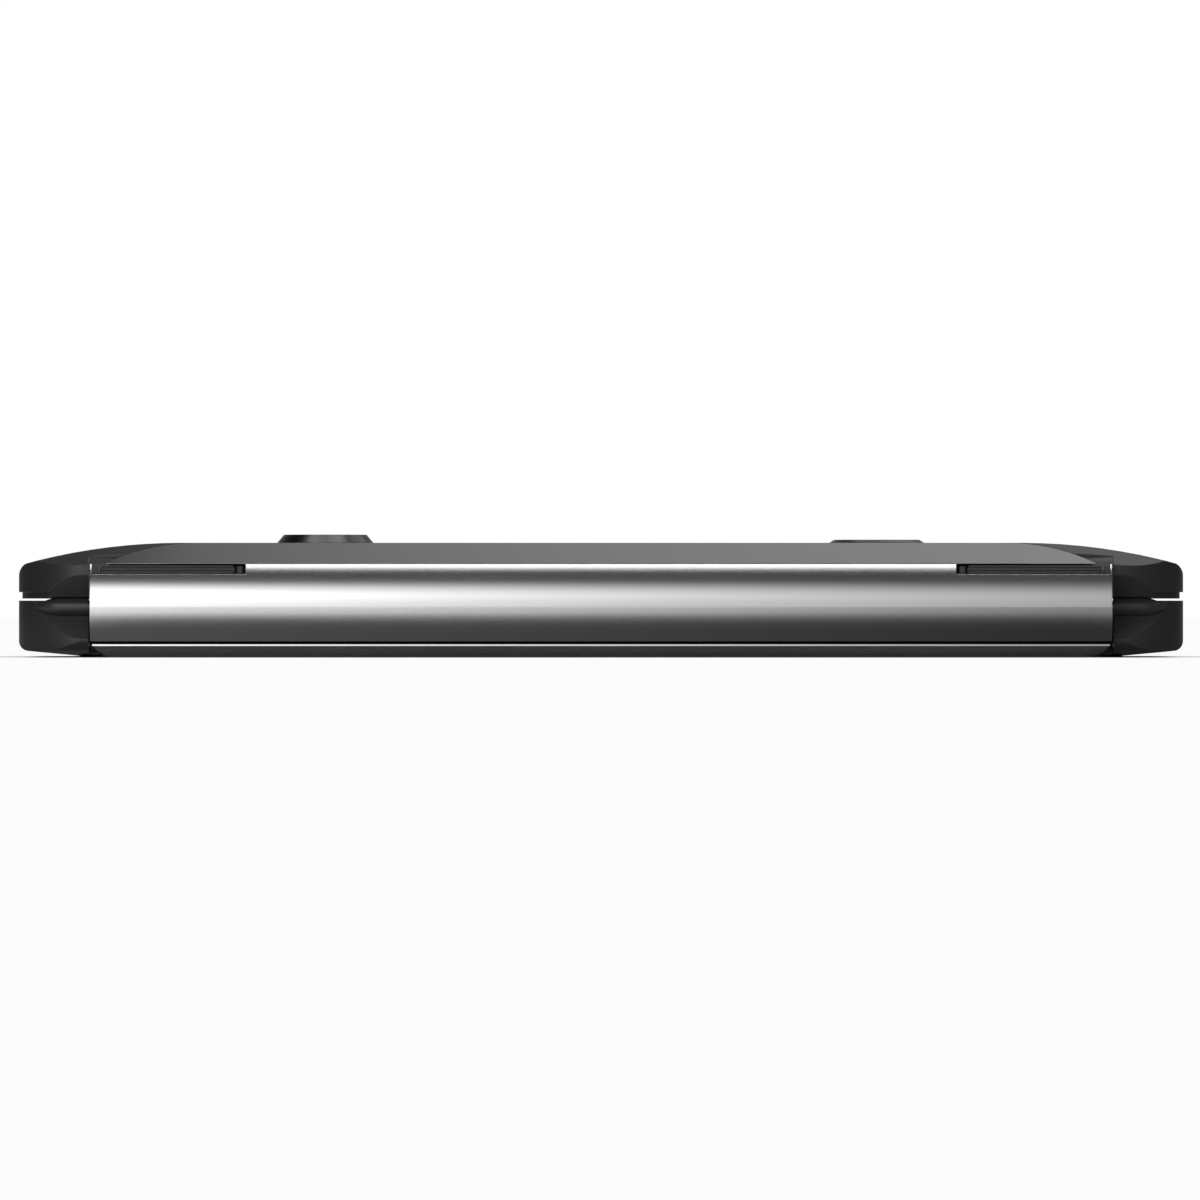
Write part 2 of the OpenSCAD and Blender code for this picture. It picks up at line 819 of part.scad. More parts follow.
module hinge_cap(right) {
    at_end(right) difference() {
        pod_form(0);
        axis_bar(end_x - over, bush_x + bush_l + fit_gap, bush_r + fit_gap);
        axis_bar(end_x, pin_end + pin_room, pin_r + pin_room);
        bush_arm_form(fit_gap);
    }
}

module hinge_cap_left() color([0.06, 0.06, 0.065]) hinge_cap(false);

module hinge_cap_right() color([0.06, 0.06, 0.065]) hinge_cap(true);

// Magnet beside the end wall, with its underside at z
module magnet(z) {
    x = inner_half - 2 * seat_gap;
    slab(x - magnet_w, x, magnet_y, magnet_y + magnet_l, z, z + magnet_t);
}

module base_magnets() color([0.7, 0.7, 0.7]) {
    for (right = [true, false]) at_end(right) {
        magnet(frame_z - magnet_t);
    }
}

// Lid's top surfaces: the crowned flat and the two sloping bands, lowered by drop
module crown_profile(half, r, depth) {
    intersection() {
        union() {
            translate([-half, -depth]) square([2 * half, depth]);
            for (s = [-1, 1]) translate([s * half, -r]) circle(r, $fn = 360);
        }
        translate([-half_w, -depth]) square([2 * half_w, depth]);
    }
}

module shoulder_profile() {
    edge = half_w - shoulder_r;
    z = -(crown_r - sqrt(pow(crown_r, 2) - pow(edge - crown_half, 2))) - shoulder_r;
    translate([-edge, -far]) square([2 * edge, far]);
    translate([-half_w, z - far]) square([body_w, far]);
    for (s = [-1, 1]) translate([s * edge, z]) circle(shoulder_r);
}

module lid_top_form(drop) {
    translate([0, 0, -drop]) intersection() {
        translate([0, 0, lid_top]) along_y() intersection() {
            crown_profile(crown_half, crown_r, far);
            shoulder_profile();
        }
        translate([0, facet_back, lid_top]) rotate([-facet_angle, 0, 0])
            along_y() crown_profile(band_half, band_crown_r, far);
        translate([0, facet_front, lid_top]) rotate([facet_angle, 0, 0])
            along_y() crown_profile(band_half, band_crown_r, far);
    }
}

module lid_plan(inset) {
    case_plan(inset);
    translate([-spine_half, 0]) square([2 * spine_half, plate_back]);
}

module lid_form() {
    intersection() {
        union() {
            translate([0, 0, lid_z + lip_h]) linear_extrude(lid_h) lid_plan(0);
            translate([0, 0, lid_z]) linear_extrude(lid_h) lid_plan(lip_in);
        }
        lid_top_form(0);
    }
}

// Cover plate from above, grown by extra
module plate_plan(extra) {
    out = plate_half + sweep_corner_r;
    translate([-plate_half - extra, front_y - over]) {
        square([2 * (plate_half + extra), plate_back - front_y + 2 * over]);
    }
    for (rear = [true, false], right = [true, false]) {
        y = rear ? facet_back : -facet_front;
        edge = (rear ? plate_back : -front_y) + over;
        mirror([right ? 0 : 1, 0]) mirror([0, rear ? 0 : 1]) {
            difference() {
                translate([plate_half, y - sweep_corner_r]) {
                    square([sweep_corner_r, edge - y + sweep_corner_r]);
                }
                translate([out, y - sweep_corner_r]) circle(sweep_corner_r - extra);
            }
            intersection() {
                translate([out, y + sweep_r]) circle(sweep_r + extra, $fn = 180);
                translate([out - over, y - 2 * over]) square([sweep_run + 3 * over, edge - y + 2 * over]);
            }
        }
    }
}

module lid_housing() color([0.07, 0.07, 0.075]) {
    difference() {
        lid_form();
        stop_space(-stop_tilt);
        // Seat of the cover plate
        difference() {
            linear_extrude(lid_top + over) plate_plan(seat_gap);
            lid_top_form(plate_t + fit_gap);
        }
        // Seat of the spine
        difference() {
            middle_slab(end_x, axis_y, far, 0, far);
            translate([0, spine_top_y, 0]) axis_bar(-far, far, spine_top_r - spine_t - insert_gap);
        }
        for (right = [true, false]) at_end(right) {
            pod_form(pod_gap);
            axis_bar(plug_x - insert_gap, end_x + seat_gap, plug_r + insert_gap);
        }
        // Display glass and the space above it
        middle_slab(glass_half + seat_gap, glass_front - seat_gap, glass_back + seat_gap, 0, lid_floor);
        intersection() {
            cased_slab(corner_wall, inner_half, inner_front, lid_back, lid_floor, far);
            lid_top_form(skin_under);
        }
        // Camera, button and cover display
        post(pod_x, pods_y, 0, far, camera_stem_r);
        post(-pod_x, pods_y, skin_z - over, far, button_stem_r + seat_gap);
        translate([0, pods_y, skin_z - over]) linear_extrude(far)
            square([cover_w - 2 * cover_ledge, cover_d - 2 * cover_ledge], center = true);
        // Side button on the left, card tray on the right
        along_x(-half_w - over, -inner_half + over) {
            side_profile(side_l + 2 * side_gap, side_h + 2 * side_gap, button_z);
        }
        along_x(inner_half - over, half_w + over) {
            side_profile(tray_w + 2 * tray_lip + 2 * seat_gap, tray_h + 2 * seat_gap, tray_z);
        }
    }
}

module side_profile(l, h, z) {
    translate([side_y, z]) rounded_rect(l, h, h / 2 - 0.01);
}

module lid_plate() color([0.42, 0.42, 0.43]) {
    difference() {
        intersection() {
            translate([0, 0, plate_low]) linear_extrude(lid_h) plate_plan(0);
            translate([0, 0, plate_low]) linear_extrude(lid_h) lid_plan(0);
            difference() {
                lid_top_form(0);
                lid_top_form(plate_t);
            }
        }
        post(pod_x, pods_y, 0, far, camera_stem_r);
        post(-pod_x, pods_y, 0, far, button_r + side_gap);
        post(pod_x, flash_y, 0, far, flash_r + window_gap);
        translate([0, pods_y, 0]) linear_extrude(far)
            rounded_rect(cover_w + 2 * window_gap, cover_d + 2 * window_gap, cover_r + window_gap);
    }
}

// Spine's outline about the hinge axis, filled, with its face moved out by off
module spine_solid(off) {
    intersection() {
        translate([spine_top_y, 0]) circle(spine_top_r + off, $fn = 180);
        square(far);
    }
    intersection() {
        circle(spine_r + off);
        translate([0, -far]) square(far);
    }
}

module spine_section() {
    difference() {
        spine_solid(0);
        spine_solid(-spine_t);
        translate([-far, spine_up]) square(2 * far);
        polygon([[0, 0], [far * cos(lip_angle), -far * sin(lip_angle)], [0, -2 * far], [-far, 0]]);
    }
}

module spine_shell() color([0.75, 0.75, 0.76]) {
    difference() {
        along_x(-spine_half, spine_half) about_axis() spine_section();
        for (right = [true, false]) at_end(right) {
            slab(strip_x0, strip_x1, axis_y, far, axis_z + spine_up - strip_h, far);
        }
    }
}

module foot_strip(right) {
    at_end(right) {
        along_x(strip_x0 + strip_end, strip_x1 - strip_end) about_axis() intersection() {
            difference() {
                spine_solid(strip_proud);
                spine_solid(-spine_t);
            }
            translate([0, spine_up - strip_h + insert_gap]) square([far, strip_h - 2 * insert_gap]);
        }
    }
}

module foot_strip_left() color([0.08, 0.08, 0.08]) foot_strip(false);

module foot_strip_right() color([0.08, 0.08, 0.08]) foot_strip(true);

module spine_plug(right) {
    reach = spine_r - spine_t - insert_gap;
    top = lid_z - axis_z - insert_gap;
    at_end(right) difference() {
        along_x(plug_x, plug_x + plug_t) about_axis() {
            circle(plug_r);
            intersection() {
                circle(reach);
                polygon([
                    [0, 0], [far * cos(plug_angle), -far * sin(plug_angle)], [far, top], [0, top],
                ]);
            }
        }
        axis_bar(plug_x - over, end_x, pin_r + fit_gap / 2);
    }
}

module spine_plug_left() color([0.35, 0.35, 0.36]) spine_plug(false);

module spine_plug_right() color([0.35, 0.35, 0.36]) spine_plug(true);

module hinge_pin_left() color([0.8, 0.8, 0.82]) at_end(false) axis_bar(plug_x + insert_gap, pin_end, pin_r);

module hinge_pin_right() color([0.8, 0.8, 0.82]) at_end(true) axis_bar(plug_x + insert_gap, pin_end, pin_r);

module display_glass() color([0.02, 0.02, 0.03]) {
    depth = glass_back - glass_front;
    translate([0, (glass_back + glass_front) / 2, lid_z]) linear_extrude(glass_t)
        rounded_rect(2 * glass_half, depth, 1.5);
}

module display_panel() color([0.1, 0.12, 0.2]) {
    middle_slab(panel_half, inner_front + inner_gap, lid_back - inner_gap, lid_floor, panel_top);
}

module display_frame() color([0.55, 0.55, 0.57]) {
    cased_slab(corner_wall + inner_gap, inner_half - midframe_inset, inner_front + 2 * inner_gap,
        lid_back - inner_gap, panel_top, midframe_top);
}

module main_board() color([0.06, 0.22, 0.14]) {
    middle_slab(inner_half - board_inset, inner_front + board_set_back, board_edge, midframe_top,
        lid_board_top);
}

module shield_cans() color([0.65, 0.65, 0.67]) {
    for (x = can_x, y = can_y) {
        translate([x, y, lid_board_top]) linear_extrude(can_t) rounded_rect(can_l, can_w, 1);
    }
}

// Switch under the round button, and the one behind the side button
module switches() color([0.3, 0.3, 0.3]) {
    x = -inner_half + side_flange_t + side_travel + insert_gap;
    translate([-pod_x, pods_y, lid_board_top]) linear_extrude(switch_h) rounded_rect(switch_w, switch_w, 0.5);
    slab(x, x + side_switch_t, side_y - switch_w / 2, side_y + switch_w / 2, lid_floor, panel_top - seat_gap);
}

module camera_module() color([0.12, 0.12, 0.13]) {
    difference() {
        union() {
            translate([pod_x, pods_y, lid_board_top]) linear_extrude(camera_base)
                rounded_rect(camera_w, camera_w, 0.8);
            post(pod_x, pods_y, lid_board_top + camera_base, lid_top + inner_gap, 3.8);
        }
        post(pod_x, pods_y, lid_top - 0.6, far, 1.8);
    }
}

module camera_ring() color([0.2, 0.2, 0.21]) {
    inner = window_r + window_gap;
    stem = camera_stem_r - seat_gap;
    low = lid_board_top + camera_base + insert_gap;
    top = lid_top + camera_up;
    translate([pod_x, pods_y, 0]) rotate_extrude() polygon([
        [inner, low], [stem, low], [stem, lid_top + fit_gap], [camera_r, lid_top + fit_gap],
        [camera_r, lid_top + pod_side], [camera_r - camera_slope, top], [inner, top],
    ]);
}

module camera_lens() color([0.02, 0.02, 0.03]) {
    post(pod_x, pods_y, lid_top + inner_gap + insert_gap, lid_top + camera_up - lens_drop, window_r);
}

module camera_flash() color([0.9, 0.88, 0.75]) {
    post(pod_x, flash_y, lid_top - plate_t, lid_top, flash_r);
}

module cover_glass() color([0.02, 0.02, 0.03]) {
    translate([0, pods_y, lid_top - cover_t]) linear_extrude(cover_t) rounded_rect(cover_w, cover_d, cover_r);
}

module cover_panel() color([0.1, 0.12, 0.2]) {
    edge = 2 * (cover_ledge + seat_gap);
    translate([0, pods_y, lid_top - cover_t - 1]) linear_extrude(1)
        rounded_rect(cover_w - edge, cover_d - edge, 0.5);
}

module front_camera() color([0.1, 0.1, 0.1]) {
    post(glass_half - panel_edge / 2, pods_y + 12, lid_floor, panel_top, 2);
}

module earpiece() color([0.14, 0.14, 0.14]) {
    translate([-glass_half + panel_edge / 2, pods_y + 8, lid_floor]) linear_extrude(panel_t)
        rounded_rect(3.5, 11, 1);
}

module card_reader() color([0.7, 0.7, 0.72]) {
    x = inner_half - slot_wall;
    back = half_w - tray_l - 0.5;
    difference() {
        slab(back - 0.4, x, side_y - tray_w / 2 - 0.7, side_y + tray_w / 2 + 0.7, lid_floor, panel_top);
        slab(back, x + over, side_y - tray_w / 2 - 2 * seat_gap, side_y + tray_w / 2 + 2 * seat_gap,
            tray_z - tray_leaf / 2 - seat_gap, tray_z + tray_leaf / 2 + seat_gap);
    }
}

module vibration_motor() color([0.6, 0.6, 0.6]) {
    post(can_x[0], board_edge + motor_r + inner_gap, midframe_top, midframe_top + motor_t, motor_r);
}

module lid_magnets() color([0.7, 0.7, 0.7]) {
    for (right = [true, false]) at_end(right) magnet(lid_floor);
}

module lid_screws() color([0.3, 0.3, 0.31]) {
    for (x = [-inner_half + 8, inner_half - 8], y = [magnet_y, board_edge - 2]) {
        post(x, y, lid_board_top, lid_board_top + 0.5, 1.3);
    }
}

module fingerprint_button() color([0.1, 0.1, 0.105]) {
    low = skin_z + skin_t + insert_gap + button_travel;
    top = lid_top + button_up;
    translate([-pod_x, pods_y, 0]) rotate_extrude() polygon([
        [0, low], [button_r, low], [button_r, lid_top + pod_side], [button_r - button_slope, top], [0, top],
    ]);
    post(-pod_x, pods_y, lid_board_top + switch_h + button_travel + insert_gap, lid_top, button_stem_r);
}

module side_button() color([0.1, 0.1, 0.105]) {
    inside = -inner_half + side_gap;
    along_x(-half_w, inside) side_profile(side_l, side_h, button_z);
    along_x(inside, -inner_half + side_flange_t) {
        side_profile(side_l + 1.6, side_h + 2 * flange_lip, button_z);
    }
}

module card_tray() color([0.3, 0.3, 0.31]) {
    front = inner_half + over;
    along_x(front, half_w) side_profile(tray_w + 2 * tray_lip, tray_h, tray_z);
    slab(half_w - tray_l, front, side_y - tray_w / 2, side_y + tray_w / 2,
        tray_z - tray_leaf / 2, tray_z + tray_leaf / 2);
}

base_housing();
base_plate();
foot_pads();
base_screws();
keyboard_frame();
keyboard_backplate();
dome_sheet();
battery_pack();
port_board_left();
port_board_right();
usb_port_left();
usb_port_right();
audio_jack();
speaker_left();
speaker_right();
speaker_grille_left();
speaker_grille_right();
hinge_beam();
hinge_bush_left();
hinge_bush_right();
hinge_cap_left();
hinge_cap_right();
base_magnets();
number_keys();
upper_letter_keys();
middle_letter_keys();
enter_key();
lower_letter_keys();
bottom_keys();
space_bar();
lid_housing();
lid_plate();
spine_shell();
spine_plug_left();
spine_plug_right();
hinge_pin_left();
hinge_pin_right();
foot_strip_left();
foot_strip_right();
display_glass();
display_panel();
display_frame();
main_board();
shield_cans();
switches();
camera_module();
camera_ring();
camera_lens();
camera_flash();
cover_glass();
cover_panel();
front_camera();
earpiece();
card_reader();
vibration_motor();
lid_magnets();
lid_screws();
fingerprint_button();
side_button();
card_tray();
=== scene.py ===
# %% [markdown]
# # A clamshell pocket computer, closed, seen from its hinge side
# The real object is a keyboard base and a display lid, joined along the whole rear edge by a metal spine.
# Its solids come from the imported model, which is the fixed frame of this scene. Blender adds what a plain
# solid cannot show: the finish of each surface, softened edges, dished keys with legends, the lens and light.

import math

import bmesh
import bpy
from mathutils import Matrix, Vector


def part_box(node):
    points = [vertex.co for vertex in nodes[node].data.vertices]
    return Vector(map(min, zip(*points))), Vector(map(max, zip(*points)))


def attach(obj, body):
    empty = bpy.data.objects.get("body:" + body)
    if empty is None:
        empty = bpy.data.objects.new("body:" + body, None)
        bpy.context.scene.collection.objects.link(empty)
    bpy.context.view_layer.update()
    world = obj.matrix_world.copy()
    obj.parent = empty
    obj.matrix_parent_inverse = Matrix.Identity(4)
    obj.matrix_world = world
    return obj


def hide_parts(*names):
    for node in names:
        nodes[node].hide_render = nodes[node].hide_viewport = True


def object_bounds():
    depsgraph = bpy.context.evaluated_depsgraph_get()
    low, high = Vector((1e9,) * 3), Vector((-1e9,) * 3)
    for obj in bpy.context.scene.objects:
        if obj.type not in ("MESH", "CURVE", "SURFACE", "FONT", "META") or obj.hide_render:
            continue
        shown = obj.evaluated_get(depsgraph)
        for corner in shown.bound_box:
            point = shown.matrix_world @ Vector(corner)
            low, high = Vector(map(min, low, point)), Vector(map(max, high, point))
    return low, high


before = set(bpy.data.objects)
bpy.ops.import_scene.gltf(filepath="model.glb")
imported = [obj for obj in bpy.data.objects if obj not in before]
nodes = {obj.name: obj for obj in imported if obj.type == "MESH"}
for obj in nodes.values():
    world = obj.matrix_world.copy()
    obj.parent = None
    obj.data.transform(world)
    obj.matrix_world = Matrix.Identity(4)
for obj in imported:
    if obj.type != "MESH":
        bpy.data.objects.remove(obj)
cad_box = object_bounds()
mm = 0.001
print("CAD nodes:", len(nodes), "box in mm:", [[round(v / mm, 2) for v in corner] for corner in cad_box])

# %% [markdown]
# ## Shader and geometry trees written as sums
# A procedural finish is a small formula, and so is a pattern of repeated parts. The class below wraps one
# output of a node, so that a + b adds a Math node, and Tree.node is the only place that makes any other node.
# Its settings are set before its sockets are filled, because a setting can change which sockets a node has.

# %% One wrapped output, and the tree that it belongs to
class Value:
    """An output of a node. Sums and products of it add Math nodes to its tree."""

    def __init__(self, tree, socket):
        self.tree = tree
        self.socket = socket

    def math(self, operation, *others):
        return self.tree.node("ShaderNodeMath", {"operation": operation}, dict(enumerate((self, *others))))

    def __add__(self, other):
        return self.math("ADD", other)

    def __mul__(self, other):
        return self.math("MULTIPLY", other)

    def __sub__(self, other):
        return self.math("SUBTRACT", other)

    def __rsub__(self, other):
        return self.tree.node("ShaderNodeMath", {"operation": "SUBTRACT"}, {0: other, 1: self})

    def __pow__(self, other):
        return self.math("POWER", other)

    def __gt__(self, other):
        return self.math("GREATER_THAN", other)

    def __lt__(self, other):
        return self.math("LESS_THAN", other)

    def size(self):
        return self.math("ABSOLUTE")

    def beside(self, name):
        """Another output of the same node."""
        return Value(self.tree, self.socket.node.outputs[name])

    def limited(self, low, high):
        """The value moved from the range low to high onto 0 to 1, with soft ends."""
        kind = {"interpolation_type": "SMOOTHSTEP"}
        return self.tree.node("ShaderNodeMapRange", kind, {"Value": self, "From Min": low, "From Max": high})

    __radd__ = __add__
    __rmul__ = __mul__


class Tree:
    """A node tree of a material, a world or a modifier."""

    def __init__(self, nodes_and_links):
        self.nodes = nodes_and_links.nodes
        self.links = nodes_and_links.links

    def fill(self, made, inputs):
        for key, value in inputs.items():
            named = [s for s in made.inputs if s.enabled and s.name == key]
            socket = made.inputs[key] if isinstance(key, int) else named[0]
            if isinstance(value, Value):
                self.links.new(value.socket, socket)
            else:
                socket.default_value = value
        return made

    def node(self, kind, settings=None, inputs=None, output=None):
        """Makes a node. Settings come first, stops fill a colour ramp, and output names what is handed back."""
        made = self.nodes.new(kind)
        for name, value in (settings or {}).items():
            if name == "stops":
                fill_ramp(made.color_ramp, value)
            else:
                setattr(made, name, value)
        self.fill(made, inputs or {})
        usable = [s for s in made.outputs if s.enabled]
        if output is not None:
            usable = [s for s in usable if s.name == output]
        return Value(self, usable[0]) if usable else made

    def mix(self, factor, first, second):
        """A colour between two colours."""
        return self.node("ShaderNodeMix", {"data_type": "RGBA"}, {"Factor": factor, "A": first, "B": second})


def fill_ramp(ramp, stops):
    """Places the stops of a colour ramp, given as (place, grey level) pairs."""
    while len(ramp.elements) < len(stops):
        ramp.elements.new(1.0)
    for element, (place, level) in zip(ramp.elements, stops):
        element.position = place
        element.color = (level, level, level, 1)


print("tree helpers are ready")

# %% [markdown]
# ## Finishes
# Real mouldings and machined metal are never one flat value. Each finish below starts from a Principled
# shader whose constants are set on its own sockets, and three things vary over the surface: the colour a
# little, the roughness a little, and the normal, which carries the grain. All of them read Object
# coordinates, so the pattern stays on the part when the part moves, and its scale is in real millimetres.
#
# Real edges are never sharp either. The Bevel node bends the normal near an edge, which gives plastic, metal,
# rubber and black glass a thin highlight along their edges without a change to their meshes. Where that bent
# normal leaves the true one, the surface is an edge, so the same node also tells where plastic and metal are
# polished by handling.

# %% Base of every finish
class Finish(Tree):
    """A material with a Principled shader, and the places and edges that its patterns read."""

    def __init__(self, name, metallic=0.0, ior=1.5, coat=0.0):
        self.material = bpy.data.materials.new(name)
        self.material.use_nodes = True
        super().__init__(self.material.node_tree)
        self.nodes.clear()
        self.place = self.node("ShaderNodeTexCoord", output="Object")
        shader = self.node("ShaderNodeBsdfPrincipled", None, {"Metallic": metallic, "IOR": ior, "Coat Weight": coat})
        self.node("ShaderNodeOutputMaterial", None, {"Surface": shader})
        self.shader = shader.socket.node

    def stretched(self, x=1.0, y=1.0, z=1.0):
        """The place on the object, with its axes scaled."""
        return self.node("ShaderNodeMapping", None, {"Vector": self.place, "Scale": (x, y, z)})

    def noise(self, grain, place=None, detail=2.0, roughness=0.5):
        """Noise whose lumps are about grain metres across."""
        inputs = {"Vector": place or self.place, "Scale": 1 / grain, "Detail": detail, "Roughness": roughness}
        return self.node("ShaderNodeTexNoise", None, inputs, "Fac")

    def softened(self, radius):
        """The normal, rounded over radius metres at each edge."""
        return self.node("ShaderNodeBevel", {"samples": 6}, {"Radius": radius})

    def edge(self, rounded):
        """1 on an edge and 0 away from one."""
        flat = self.node("ShaderNodeNewGeometry", output="Normal")
        along = self.node("ShaderNodeVectorMath", {"operation": "DOT_PRODUCT"}, {0: rounded, 1: flat}, "Value")
        return (1 - along).limited(0.01, 0.25)

    def grain(self, height, depth, normal=None):
        """A normal with a relief of the given depth in metres."""
        inputs = {"Height": height, "Distance": depth, "Strength": 1.0}
        if normal is not None:
            inputs["Normal"] = normal
        return self.node("ShaderNodeBump", None, inputs)

    def finish(self, colour, roughness, normal):
        self.fill(self.shader, {"Base Color": colour, "Roughness": roughness, "Normal": normal})
        return self.material


def grey(level, warmth=0.0):
    """A near-neutral colour. Warmth above 0 adds red and takes blue away."""
    return (level * (1 + warmth), level, level * (1 - warmth), 1)


finishes = {}
print("finish base is ready")

# %% [markdown]
# ### Moulded black plastic
# The case halves and end caps are moulded in black plastic with a fine spark-eroded texture. At arm's length
# the texture only shows as a soft, wide highlight, so the grain is a quarter of a millimetre and very
# shallow. Edges that a hand rubs are a little smoother and paler than the faces between them.

# %% Moulded plastics
def moulded(name, level, rough, grain=0.25 * mm, depth=0.004 * mm, radius=0.15 * mm):
    made = Finish(name, ior=1.48)
    rounded = made.softened(radius)
    edge = made.edge(rounded)
    lumps = made.noise(grain)
    drift = made.noise(18 * mm, detail=1.0)
    colour = made.mix(drift, grey(level * 0.88, -0.01), grey(level * 1.12, -0.01))
    worn = made.mix(edge * 0.5, colour, grey(level * 1.7))
    roughness = rough + (drift - 0.5) * 0.08 + (lumps - 0.5) * 0.05 - edge * 0.1
    return made.finish(worn, roughness, made.grain(lumps, depth, rounded))


finishes["black_plastic"] = moulded("moulded black plastic", 0.02, 0.38)
finishes["keyboard_frame"] = moulded("keyboard frame plastic", 0.03, 0.52)
finishes["key_plastic"] = moulded("key cap plastic", 0.03, 0.42, radius=0.06 * mm)
finishes["black_moulding"] = moulded("plain black moulding", 0.02, 0.38, radius=0.08 * mm)
print("moulded plastics:", sorted(finishes))

# %% [markdown]
# ### Metals
# The cover plates are dark anodised aluminium, blasted before it is dyed, so their grain is even in all
# directions. The spine is a drawn extrusion with a satin face: fine lines run along its length, which is X,
# so the noise is stretched along X. Steel parts are rolled and show the same lines, only coarser. Blackened
# metal keeps little of the metal's shine.

# %% Blasted, drawn and blackened metals
def blasted(name, level, rough, radius=0.12 * mm, warmth=0.0):
    made = Finish(name, metallic=1.0)
    rounded = made.softened(radius)
    edge = made.edge(rounded)
    pits = made.noise(0.16 * mm, detail=3.0)
    drift = made.noise(30 * mm, detail=1.0)
    colour = made.mix(drift, grey(level * 0.94, warmth), grey(level * 1.06, warmth))
    worn = made.mix(edge * 0.6, colour, grey(min(level * 2.2, 0.8), warmth))
    roughness = rough + (pits - 0.5) * 0.06 + (drift - 0.5) * 0.05 - edge * 0.08
    return made.finish(worn, roughness, made.grain(pits, 0.002 * mm, rounded))


def drawn(name, level, rough, line=0.12 * mm, depth=0.0012 * mm, radius=0.12 * mm):
    made = Finish(name, metallic=1.0)
    rounded = made.softened(radius)
    edge = made.edge(rounded)
    lines = made.noise(line, made.stretched(x=0.012), detail=3.0, roughness=0.6)
    drift = made.noise(40 * mm, detail=1.0)
    colour = made.mix(lines, grey(level * 0.97), grey(level * 1.03))
    worn = made.mix(edge * 0.5, colour, grey(min(level * 1.25, 0.92)))
    roughness = rough + (lines - 0.5) * 0.07 + (drift - 0.5) * 0.03
    return made.finish(worn, roughness, made.grain(lines, depth, rounded))


finishes["cover_metal"] = blasted("dark anodised aluminium", 0.22, 0.34)
finishes["light_metal"] = blasted("milled aluminium", 0.42, 0.3)
finishes["dark_metal"] = blasted("dark satin metal", 0.09, 0.3)
finishes["dark_screws"] = blasted("blackened screw steel", 0.07, 0.32, radius=0.05 * mm)
finishes["spine_metal"] = drawn("drawn satin aluminium", 0.6, 0.25)
finishes["steel"] = drawn("rolled steel", 0.5, 0.28, line=0.2 * mm)
print("finishes so far:", len(finishes))

# %% [markdown]
# ### Rubber, boards, battery wrap and display
# Rubber is dull with a chalky bloom. A circuit board is a glossy green film over copper lanes, which a Brick
# texture stands for. The battery is a pouch of matte foil with soft creases. A display that is switched off
# is near-black, and only a very fine grid of cells shows under its glass.

# %% Soft and layered finishes
def rubber():
    made = Finish("matte black rubber", ior=1.45)
    rounded = made.softened(0.12 * mm)
    bloom = made.noise(0.5 * mm, detail=4.0)
    colour = made.mix(bloom, grey(0.022), grey(0.04))
    return made.finish(colour, 0.62 + bloom * 0.2, made.grain(bloom, 0.006 * mm, rounded))


def circuit_board():
    made = Finish("solder mask over copper", ior=1.5, coat=0.4)
    lanes = made.node("ShaderNodeTexBrick", {"offset": 0.5}, {
        "Vector": made.place, "Scale": 1 / (9 * mm), "Mortar Size": 0.035, "Mortar Smooth": 0.2}, "Fac")
    drift = made.noise(4 * mm)
    bare = (0.01, 0.075, 0.035, 1)
    copper = (0.02, 0.14, 0.06, 1)
    colour = made.mix(lanes * 0.8 + drift * 0.2, bare, copper)
    return made.finish(colour, 0.3 + drift * 0.1, made.grain(lanes, 0.03 * mm))


def cell_wrap():
    made = Finish("matte foil pouch", metallic=0.3, ior=1.45)
    creases = made.noise(7 * mm, detail=5.0, roughness=0.65)
    colour = made.mix(creases, grey(0.09), grey(0.14))
    return made.finish(colour, 0.4 + creases * 0.15, made.grain(creases, 0.15 * mm))


def dark_display():
    made = Finish("display cells, off", ior=1.5)
    cells = made.node("ShaderNodeTexChecker", None, {"Vector": made.place, "Scale": 1 / (0.08 * mm)}, "Fac")
    smear = made.noise(12 * mm)
    colour = made.mix(cells, (0.004, 0.005, 0.008, 1), (0.007, 0.008, 0.012, 1))
    return made.finish(colour, 0.12 + smear * 0.05, made.grain(cells, 0.0004 * mm))


finishes["rubber"] = rubber()
finishes["circuit_board"] = circuit_board()
finishes["cell_wrap"] = cell_wrap()
finishes["panel"] = dark_display()
print("finishes so far:", len(finishes))

# %% [markdown]
# ### Glass
# The display and the cover window are sheets of strengthened glass printed black from behind, so they are
# opaque black with a clear, very smooth top: a low base colour under a full coat. Fingers leave faint smears,
# which show mostly in the roughness. The small diffuser over the flash is pale and ribbed by its rings.

# %% Glass finishes
def black_glass(name, tint):
    made = Finish(name, ior=1.52, coat=1.0)
    rounded = made.softened(0.1 * mm)
    smear = made.noise(9 * mm, detail=4.0, roughness=0.6)
    dust = made.noise(0.4 * mm, detail=2.0)
    colour = made.mix(smear, tint, grey(0.006))
    return made.finish(colour, 0.05 + smear.limited(0.45, 0.75) * 0.07, made.grain(dust, 0.0001 * mm, rounded))


def flash_diffuser():
    made = Finish("pale flash diffuser", ior=1.5, coat=0.6)
    ripple = made.noise(0.3 * mm)
    colour = made.mix(ripple, (0.78, 0.74, 0.6, 1), (0.88, 0.85, 0.72, 1))
    return made.finish(colour, 0.22 + ripple * 0.12, made.grain(ripple, 0.01 * mm))


finishes["screen_glass"] = black_glass("black display glass", (0.004, 0.0045, 0.006, 1))
finishes["flash_lens"] = flash_diffuser()
for name, node in nodes.items():
    slot = node.data.materials[0].name if node.data.materials else None
    node.data.materials.clear()
    node.data.materials.append(finishes[slot])
print("finishes on the CAD nodes:", len(finishes))

